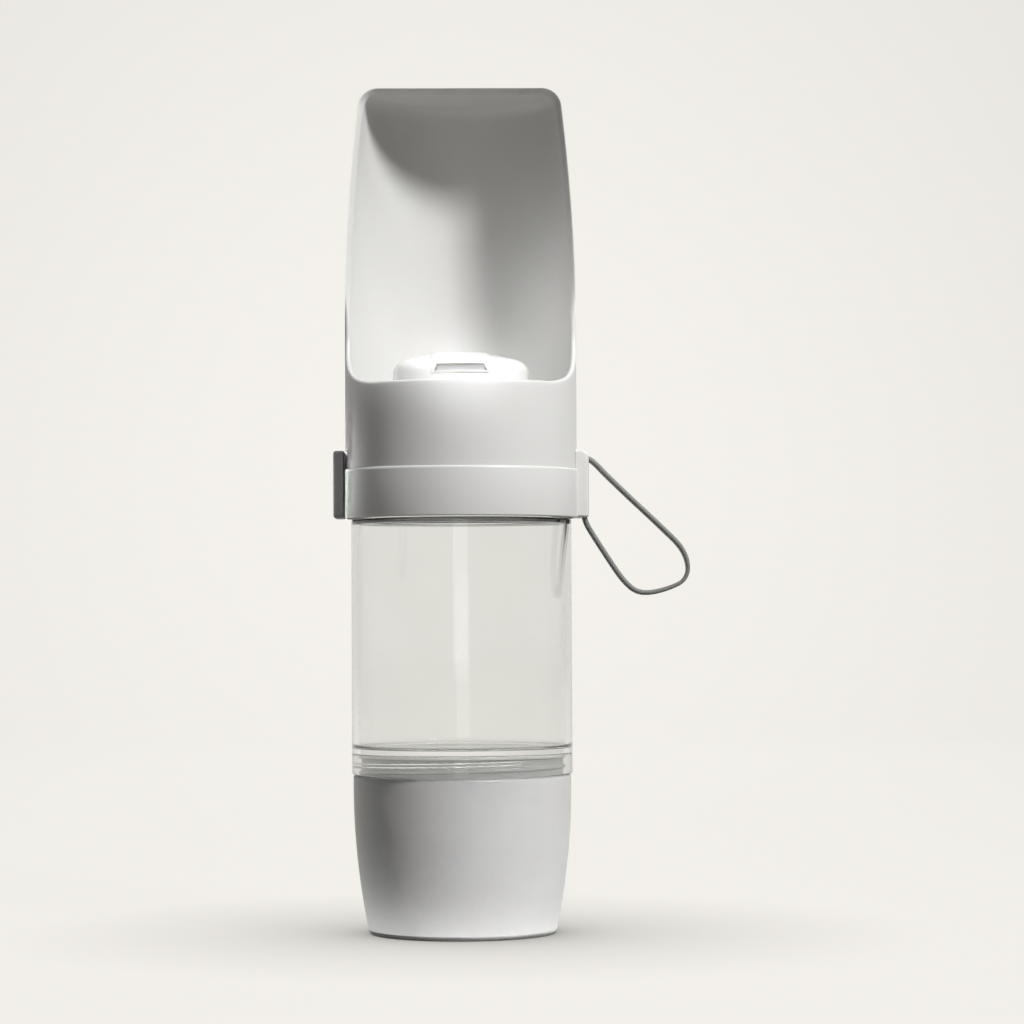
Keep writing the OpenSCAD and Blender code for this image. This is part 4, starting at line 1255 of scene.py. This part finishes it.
@dataclass
class CollarRing:
    """Screw cap of the bottle: ring, deck, spigot, strap lug and the button's pocket."""

    finish: Material
    r: float = 37.5
    bore_r: float = 32.8
    low_z: float = 131.3
    deck_z: float = 143.6
    deck_top: float = 146.2
    top_z: float = 146.8
    spigot_r: float = 34.9
    spigot_in_r: float = 33.2
    spigot_top: float = 156.2
    hole_r: float = 12.1
    groove_r: float = 33.9
    groove_z: Point = (153.6, 154.8)
    # Ring-shaped hollow in the thick skirt, as a moulder cores it out
    core_r: Point = (34.3, 35.7)
    core_top: float = 141.8
    lug_x: float = 40.4
    lug_half_w: float = 7.5
    lug_top: float = 152.6
    lug_corner: float = 1.2
    lug_round: float = 2.4
    lug_chamfer: float = 0.5
    lug_corner_steps: int = 6
    lug_back_steps: int = 12
    # The round over the lug's top, in degrees and steps
    lug_turn: tuple[float, int] = (84.0, 8)
    # The lug's hidden face lies in the ring below its top edge, and clear of the trough above it
    lug_root: float = 1.5
    lug_clear_r: float = 36.9
    pocket: Box = ((-60, -7.8, 130), (-34.8, 7.8, 152.9))
    sockets: tuple[Box, Box] = (
        ((38.4, -3.2, 149.15), (45, 3.2, 150.85)),
        ((38.35, -3.2, 130), (40.05, 3.2, 133.3)),
    )
    stem_z: float = 149.1
    stem_bore_r: float = 2.15
    stem_bore_x: Point = (-36.0, -32.0)
    stem_bore_steps: int = 32
    thread: Thread = Thread(32.8, 134.0, -90, 450, Side.INWARDS)

    def lug_ring(self, inner_r: float, x: float, z: float, inset: float) -> list[Place]:
        """Level outline of the lug.

        Args:
            inner_r: radius of its hidden face.
            x: how far out it reaches.
            z: height of the outline.
            inset: how far its edge is drawn in.

        Returns:
            Points in order.
        """
        w = self.lug_half_w - inset
        c = self.lug_corner
        steps, back = self.lug_corner_steps, self.lug_back_steps
        far = arc(x - c, -w + c, c, -90, 0, steps) + arc(x - c, w - c, c, 0, 90, steps)
        across = [w * (1 - 2 * i / back) for i in range(back + 1)]
        near = [(math.sqrt(inner_r**2 - y**2), y) for y in across]
        return [(px, py, z) for px, py in far + near]

    def lug(self) -> Piece:
        """Strap lug, rounded over its top and chamfered under it.

        Returns:
            Solid to be joined to the ring.
        """
        hidden = self.r - self.lug_root
        rings = [self.lug_ring(hidden, self.lug_x - self.lug_chamfer, self.low_z, self.lug_chamfer)]
        levels = [self.low_z + self.lug_chamfer, self.top_z - SAME]
        rings += [self.lug_ring(hidden, self.lug_x, z, 0) for z in levels]
        round_z = self.lug_top - self.lug_round
        rings += [self.lug_ring(self.lug_clear_r, self.lug_x, z, 0) for z in (self.top_z, round_z)]
        for dx, dz in arc(0, 0, self.lug_round, 0, *self.lug_turn)[1:]:
            x = self.lug_x - self.lug_round + dx
            inset = max(0.0, dz - self.lug_round + self.lug_chamfer)
            rings.append(self.lug_ring(self.lug_clear_r, x, round_z + dz, inset))
        return lofted("lug", rings, self.finish)

    def build(self) -> None:
        """Build the ring with its thread, join the lug, and cut pocket, bore and sockets."""
        outline = softened(
            [
                (self.bore_r, self.low_z, 0.25),
                (self.core_r[0], self.low_z, 0.0),
                (self.core_r[0], self.core_top, 0.0),
                (self.core_r[1], self.core_top, 0.0),
                (self.core_r[1], self.low_z, 0.0),
                (self.r, self.low_z, 0.3),
                (self.r, self.top_z, 1.0),
                (self.spigot_r, self.top_z, 0.0),
                (self.spigot_r, self.groove_z[0], 0.0),
                (self.groove_r, self.groove_z[0], 0.0),
                (self.groove_r, self.groove_z[1], 0.0),
                (self.spigot_r, self.groove_z[1], 0.0),
                (self.spigot_r, self.spigot_top, 0.3),
                (self.spigot_in_r, self.spigot_top, 0.3),
                (self.spigot_in_r, self.deck_top, 0.4),
                (self.hole_r, self.deck_top, 0.2),
                (self.hole_r, self.deck_z, 0.2),
                (self.bore_r, self.deck_z, 0.0),
            ]
        )
        ring = turned("collar", outline, self.finish, [self.thread])
        combine(ring, self.lug(), "UNION")
        for box in (self.pocket, *self.sockets):
            combine(ring, cutter(*box), "DIFFERENCE")
        span = [(x, self.stem_bore_r) for x in self.stem_bore_x]
        combine(ring, rod("cutter", span, self.stem_z, self.stem_bore_steps, self.finish), "DIFFERENCE")
        dress(ring, Body.HEAD, "collar_ring")


@dataclass
class ReleaseButton:
    """Thumb button: a rounded block with a shallow dish, a spring well and a stem."""

    finish: Material
    out_x: float = -40.4
    in_x: float = -37.0
    half_w: float = 7.5
    low_z: float = 131.3
    top_z: float = 152.6
    corner: float = 1.2
    edge: float = 0.8
    back_edge: float = 0.3
    least_corner: float = 0.3
    overlap: float = 0.2
    dish: float = 0.45
    # Share of the face's half width and half height that the dish takes up
    dish_share: Point = (0.86, 0.9)
    dish_rings: tuple[float, ...] = (0.93, 0.84, 0.72, 0.58, 0.42, 0.26, 0.12)
    spacing: float = 1.4
    stem_z: float = 149.1
    stem_r: float = 2.0
    stem_end: float = -26.0
    stem_chamfer: float = 0.4
    well_r: float = 3.1
    well: float = 1.5
    corner_steps: int = 6
    stem_steps: int = 48

    def ring(self, inset: float, x: float, share: float = 1.0) -> list[Place]:
        """Outline of the block at one depth.

        Args:
            inset: how far its edge is drawn in.
            x: place along the button's travel.
            share: size of the outline about its middle.

        Returns:
            Points in order, hollowed by the dish.
        """
        w = self.half_w - inset
        h = (self.top_z - self.low_z) / 2 - inset
        c = max(self.corner - inset, self.least_corner)
        mid = (self.top_z + self.low_z) / 2
        outline = []
        for sy, sz, turn in ((w, h, 0), (-w, h, 90), (-w, -h, 180), (w, -h, 270)):
            cy, cz = math.copysign(w - c, sy), math.copysign(h - c, sz)
            outline += arc(cy, cz, c, turn, turn + 90, self.corner_steps)
        filled: list[Point] = []
        for i, (y, z) in enumerate(outline):
            ny, nz = outline[(i + 1) % len(outline)]
            steps = max(1, round(math.hypot(ny - y, nz - z) / self.spacing))
            filled += [(y + (ny - y) * k / steps, z + (nz - z) * k / steps) for k in range(steps)]
        placed = []
        across, up = w * self.dish_share[0], h * self.dish_share[1]
        for y, z in filled:
            y, z = y * share, z * share
            hollow = max(0.0, 1 - (y / across) ** 2) * max(0.0, 1 - (z / up) ** 2)
            placed.append((x + self.dish * hollow * (share < 1), y, mid + z))
        return placed

    def build(self) -> None:
        """Build the block, cut its spring well and join its stem."""
        rings = [self.ring(self.back_edge, self.in_x), self.ring(0, self.in_x - self.back_edge)]
        for dx, dy in arc(0, 0, self.edge, 0, 90, self.corner_steps):
            rings.append(self.ring(self.edge - dx, self.out_x + self.edge - dy))
        rings += [self.ring(self.edge, self.out_x, share) for share in self.dish_rings]
        block = lofted("thumb_button", rings, self.finish)
        bottom = self.in_x - self.well
        well = [(x, self.well_r) for x in (bottom, self.in_x + 1)]
        combine(block, rod("cutter", well, self.stem_z, self.stem_steps, self.finish), "DIFFERENCE")
        stem = [(x, self.stem_r) for x in (bottom - self.overlap, self.stem_end - self.stem_chamfer)]
        stem.append((self.stem_end, self.stem_r - self.stem_chamfer))
        combine(block, rod("stem", stem, self.stem_z, self.stem_steps, self.finish), "UNION")
        dress(block, Body.BUTTON, "release_button")


@dataclass
class ClearBottle:
    """Clear body with a threaded skirt under its floor and a threaded neck on top."""

    finish: Material
    r: float = 35.0
    in_r: float = 33.0
    skirt_r: float = 33.1
    skirt_z: float = 50.3
    floor_z: float = 57.1
    floor_t: float = 1.6
    shoulder_z: float = 131.0
    cone_z: float = 129.7
    neck_r: float = 31.5
    neck_in_r: float = 29.6
    neck_top: float = 142.4
    skirt_thread: Thread = Thread(33.1, 52.1, 60, 252, Side.INWARDS, row=0.07)
    neck_thread: Thread = Thread(31.5, 133.0, 0, 450, Side.OUTWARDS)

    def build(self) -> None:
        """Build the bottle as one closed wall."""
        inner_floor = self.floor_z + self.floor_t
        outline = softened(
            [
                (self.skirt_r, self.skirt_z, 0.35),
                (self.r, self.skirt_z, 0.6),
                (self.r, self.shoulder_z, 0.9),
                (self.neck_r, self.shoulder_z, 0.4),
                (self.neck_r, self.neck_top, 0.5),
                (self.neck_in_r, self.neck_top, 0.5),
                (self.neck_in_r, self.cone_z, 0.6),
                (self.in_r, self.cone_z, 0.6),
                (self.in_r, inner_floor, 1.4),
                (0, inner_floor, 0.0),
                (0, self.floor_z, 0.0),
                (self.skirt_r, self.floor_z, 0.3),
            ]
        )
        bottle = turned("clear_body", outline, self.finish, [self.skirt_thread, self.neck_thread])
        dress(bottle, Body.BOTTLE, "bottle")


@dataclass
class FoodCup:
    """Opaque cup under the bottle, with a threaded neck."""

    finish: Material
    rim_r: float = 34.5
    foot_r: float = 29.9
    foot_round: float = 1.6
    height: float = 50.0
    band: float = 3.0
    arc_r: float = 226.3
    neck_r: float = 31.9
    neck_top: float = 55.9
    floor_t: float = 2.6
    cavity_low_r: float = 26.8
    mouth_r: float = 30.2
    recess_r: float = 24.3
    recess: float = 0.6
    wall_steps: int = 30
    foot_steps: int = 8
    thread: Thread = Thread(31.9, 51.1, 150, 342, Side.OUTWARDS, row=0.07)

    def build(self) -> None:
        """Build the cup as one closed wall."""
        arc_z = self.height - self.band
        sweep = math.degrees(math.asin((arc_z - self.foot_round) / self.arc_r))
        wall = arc(self.rim_r - self.arc_r, arc_z, self.arc_r, -sweep, 0, self.wall_steps)
        soft = self.foot_round
        foot = arc(self.foot_r - soft, soft, soft, -90, -sweep / 2, self.foot_steps)
        outline = softened(
            plain([(0, self.recess)])
            + [(self.recess_r, self.recess, 0.3), (self.recess_r, 0, 0.3)]
            + plain(foot[:-1] + wall)
            + [
                (self.rim_r, self.height, 0.6),
                (self.neck_r, self.height, 0.3),
                (self.neck_r, self.neck_top, 0.3),
                (self.mouth_r, self.neck_top, 0.4),
                (self.cavity_low_r, self.floor_t, 2.5),
                (0, self.floor_t, 0.0),
            ]
        )
        cup = turned("cup_wall", outline, self.finish, [self.thread])
        dress(cup, Body.CUP, "food_cup")


@dataclass
class Seals:
    """Silicone rings: two flat gaskets, two round seals, the gland and the valve's disc."""

    finish: Material
    soft: float = 0.35
    wire_segments: int = 160
    stem_z: float = 149.1

    def flat(self, inner: float, outer: float, low: float, high: float) -> list[Point]:
        """Section of a flat ring with soft edges, between two radii and two heights."""
        corners = [(inner, low), (outer, low), (outer, high), (inner, high)]
        return softened([(r, z, self.soft) for r, z in corners])

    def build(self) -> None:
        """Build every ring in its seat; the gland's lies along the button's stem."""
        rings = (
            ("cup_gasket_ring", "cup_gasket", Body.CUP_GASKET, self.flat(30.2, 32.95, 55.9, 57.1)),
            ("neck_gasket_ring", "bottle_gasket", Body.NECK_GASKET, self.flat(29.6, 32.65, 142.4, 143.6)),
            ("trough_seal_ring", "trough_oring", Body.HEAD, arc(34.5, 154.2, 0.57, 0, 360, 20)[:-1]),
            ("insert_seal_ring", "insert_oring", Body.HEAD, arc(12.55, 145.6, 0.55, 0, 360, 20)[:-1]),
            ("valve_disc", "valve_seal", Body.VALVE, self.flat(1.72, 10.0, 141.18, 142.58)),
            ("gland_ring", "gland_seal", Body.HEAD, self.flat(2.02, 2.98, -34.38, -32.88)),
        )
        for name, node, body, section in rings:
            segments = self.wire_segments if node.endswith("oring") else SEGMENTS
            ring = turned(name, section, self.finish, segments=segments)
            if node == "gland_seal":
                seat = Matrix.Translation((0, 0, self.stem_z * MM)) @ Matrix.Rotation(math.pi / 2, 4, "Y")
                ring.data.transform(seat)
            dress(ring, body, node)


@dataclass
class CoilSpring:
    """Coil spring wound by a Geometry Nodes tree, its end curls lying level."""

    name: str
    node: str
    joint: str
    finish: Material
    diameter: float
    wire: float
    height: float
    curls: float
    travel: float
    place: Place
    axis: Place
    anchor: Place
    end_share: float = 0.35
    turn_steps: int = 48
    wire_steps: int = 12

    def tree(self) -> tuple[Tree, dict[str, float]]:
        """Build the winding tree.

        Returns:
            The tree and the value of each named input, in metres.
        """
        end = self.end_share / self.curls
        rise = (self.height - self.wire) * MM
        sizes = {
            "Coil radius": (self.diameter - self.wire) / 2 * MM,
            "Wire radius": self.wire / 2 * MM,
            "Rise": rise,
            "Curls": float(self.curls),
            "Level start": end * rise,
            "Level end": (1 - end) * rise,
        }
        tree, given = new_tree("Spring winding", sizes)
        winding = {
            "Resolution": self.turn_steps,
            "Rotations": given["Curls"],
            "Start Radius": given["Coil radius"],
            "End Radius": given["Coil radius"],
            "Height": given["Rise"],
        }
        coil = add_node(tree, "GeometryNodeCurveSpiral", winding)
        place = add_node(tree, "GeometryNodeInputPosition")
        split = add_node(tree, "ShaderNodeSeparateXYZ", {0: place}).outputs
        heights = {
            "Value": split["Z"],
            "From Min": given["Level start"],
            "From Max": given["Level end"],
            "To Max": given["Rise"],
        }
        level = add_node(tree, "ShaderNodeMapRange", heights)
        lifted = add_node(tree, "ShaderNodeMath", {0: level, 1: given["Wire radius"]}, operation="ADD")
        spot = add_node(tree, "ShaderNodeCombineXYZ", {"X": split["X"], "Y": split["Y"], "Z": lifted})
        wound = add_node(tree, "GeometryNodeSetPosition", {"Geometry": coil, "Position": spot})
        section = {"Resolution": self.wire_steps, "Radius": given["Wire radius"]}
        ring = add_node(tree, "GeometryNodeCurvePrimitiveCircle", section)
        sweep = {"Curve": wound, "Profile Curve": ring, "Fill Caps": True}
        end_tree(tree, add_node(tree, "GeometryNodeCurveToMesh", sweep), given["Finish"])
        return tree, sizes

    def build(self) -> None:
        """Wind the spring and set it in its seat."""
        spring = make_piece(self.name, [(0, 0, 0)], [], self.finish)
        tree, sizes = self.tree()
        run_tree(spring, tree, sizes)
        lean = Vector((0, 0, 1)).rotation_difference(Vector(self.axis)).to_matrix().to_4x4()
        spring.data.transform(Matrix.Translation(Vector(self.place) * MM) @ lean)
        smooth(spring)
        dress(spring, Body.HEAD, self.node)
        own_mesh(spring)


@dataclass
class Works:
    """Hidden moving parts: two springs made here, and the hard CAD pieces with their finishes."""

    finishes: Finishes

    def build(self) -> None:
        """Wind both springs and dress the CAD pieces that stay."""
        acetal, steel = self.finishes.acetal, self.finishes.steel
        CoilSpring(
            "button_return_spring", "button_spring", "button_press", steel,
            diameter=5.8, wire=0.4, height=3.66, curls=3, travel=2.0,
            place=(-38.48, 0, 149.1), axis=(1, 0, 0), anchor=(-34.82, 0, 149.1),
        ).build()  # fmt: skip
        CoilSpring(
            "valve_return_spring", "valve_spring", "valve_open", steel,
            diameter=5.8, wire=0.5, height=7.0, curls=6, travel=2.1,
            place=(0, 0, 144.0), axis=(0, 0, 1), anchor=(0, 0, 144.0),
        ).build()  # fmt: skip
        kept = dict.fromkeys(("valve_insert", "valve_stem", "cam_follower", "cam_fork"), acetal)
        kept |= dict.fromkeys(("insert_screws", "stem_clip", "gland_washer", "fork_pin"), steel)
        for node, finish in kept.items():
            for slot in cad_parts[node].material_slots:
                slot.material = finish
            log.info("%s has its finish", node)


def main() -> None:
    """Build the studio and every sub-assembly, in order."""
    logging.basicConfig(level=logging.INFO, format="%(name)s: %(message)s")
    studio = Studio()
    studio.set_camera()
    finishes = Finishes()
    builders: list[Callable[[], None]] = [
        WristStrap(finishes.strap).build,
        FoodCup(finishes.cup).build,
        ClearBottle(finishes.clear).build,
        CollarRing(finishes.shell).build,
        DrinkingTrough(finishes.shell).build,
        OutletCover(finishes.cover).build,
        ReleaseButton(finishes.button).build,
        Seals(finishes.seal).build,
        Works(finishes).build,
    ]
    for build in builders:
        build()
    studio.lay_sweep()
    studio.light()


if __name__ == "__main__":
    main()
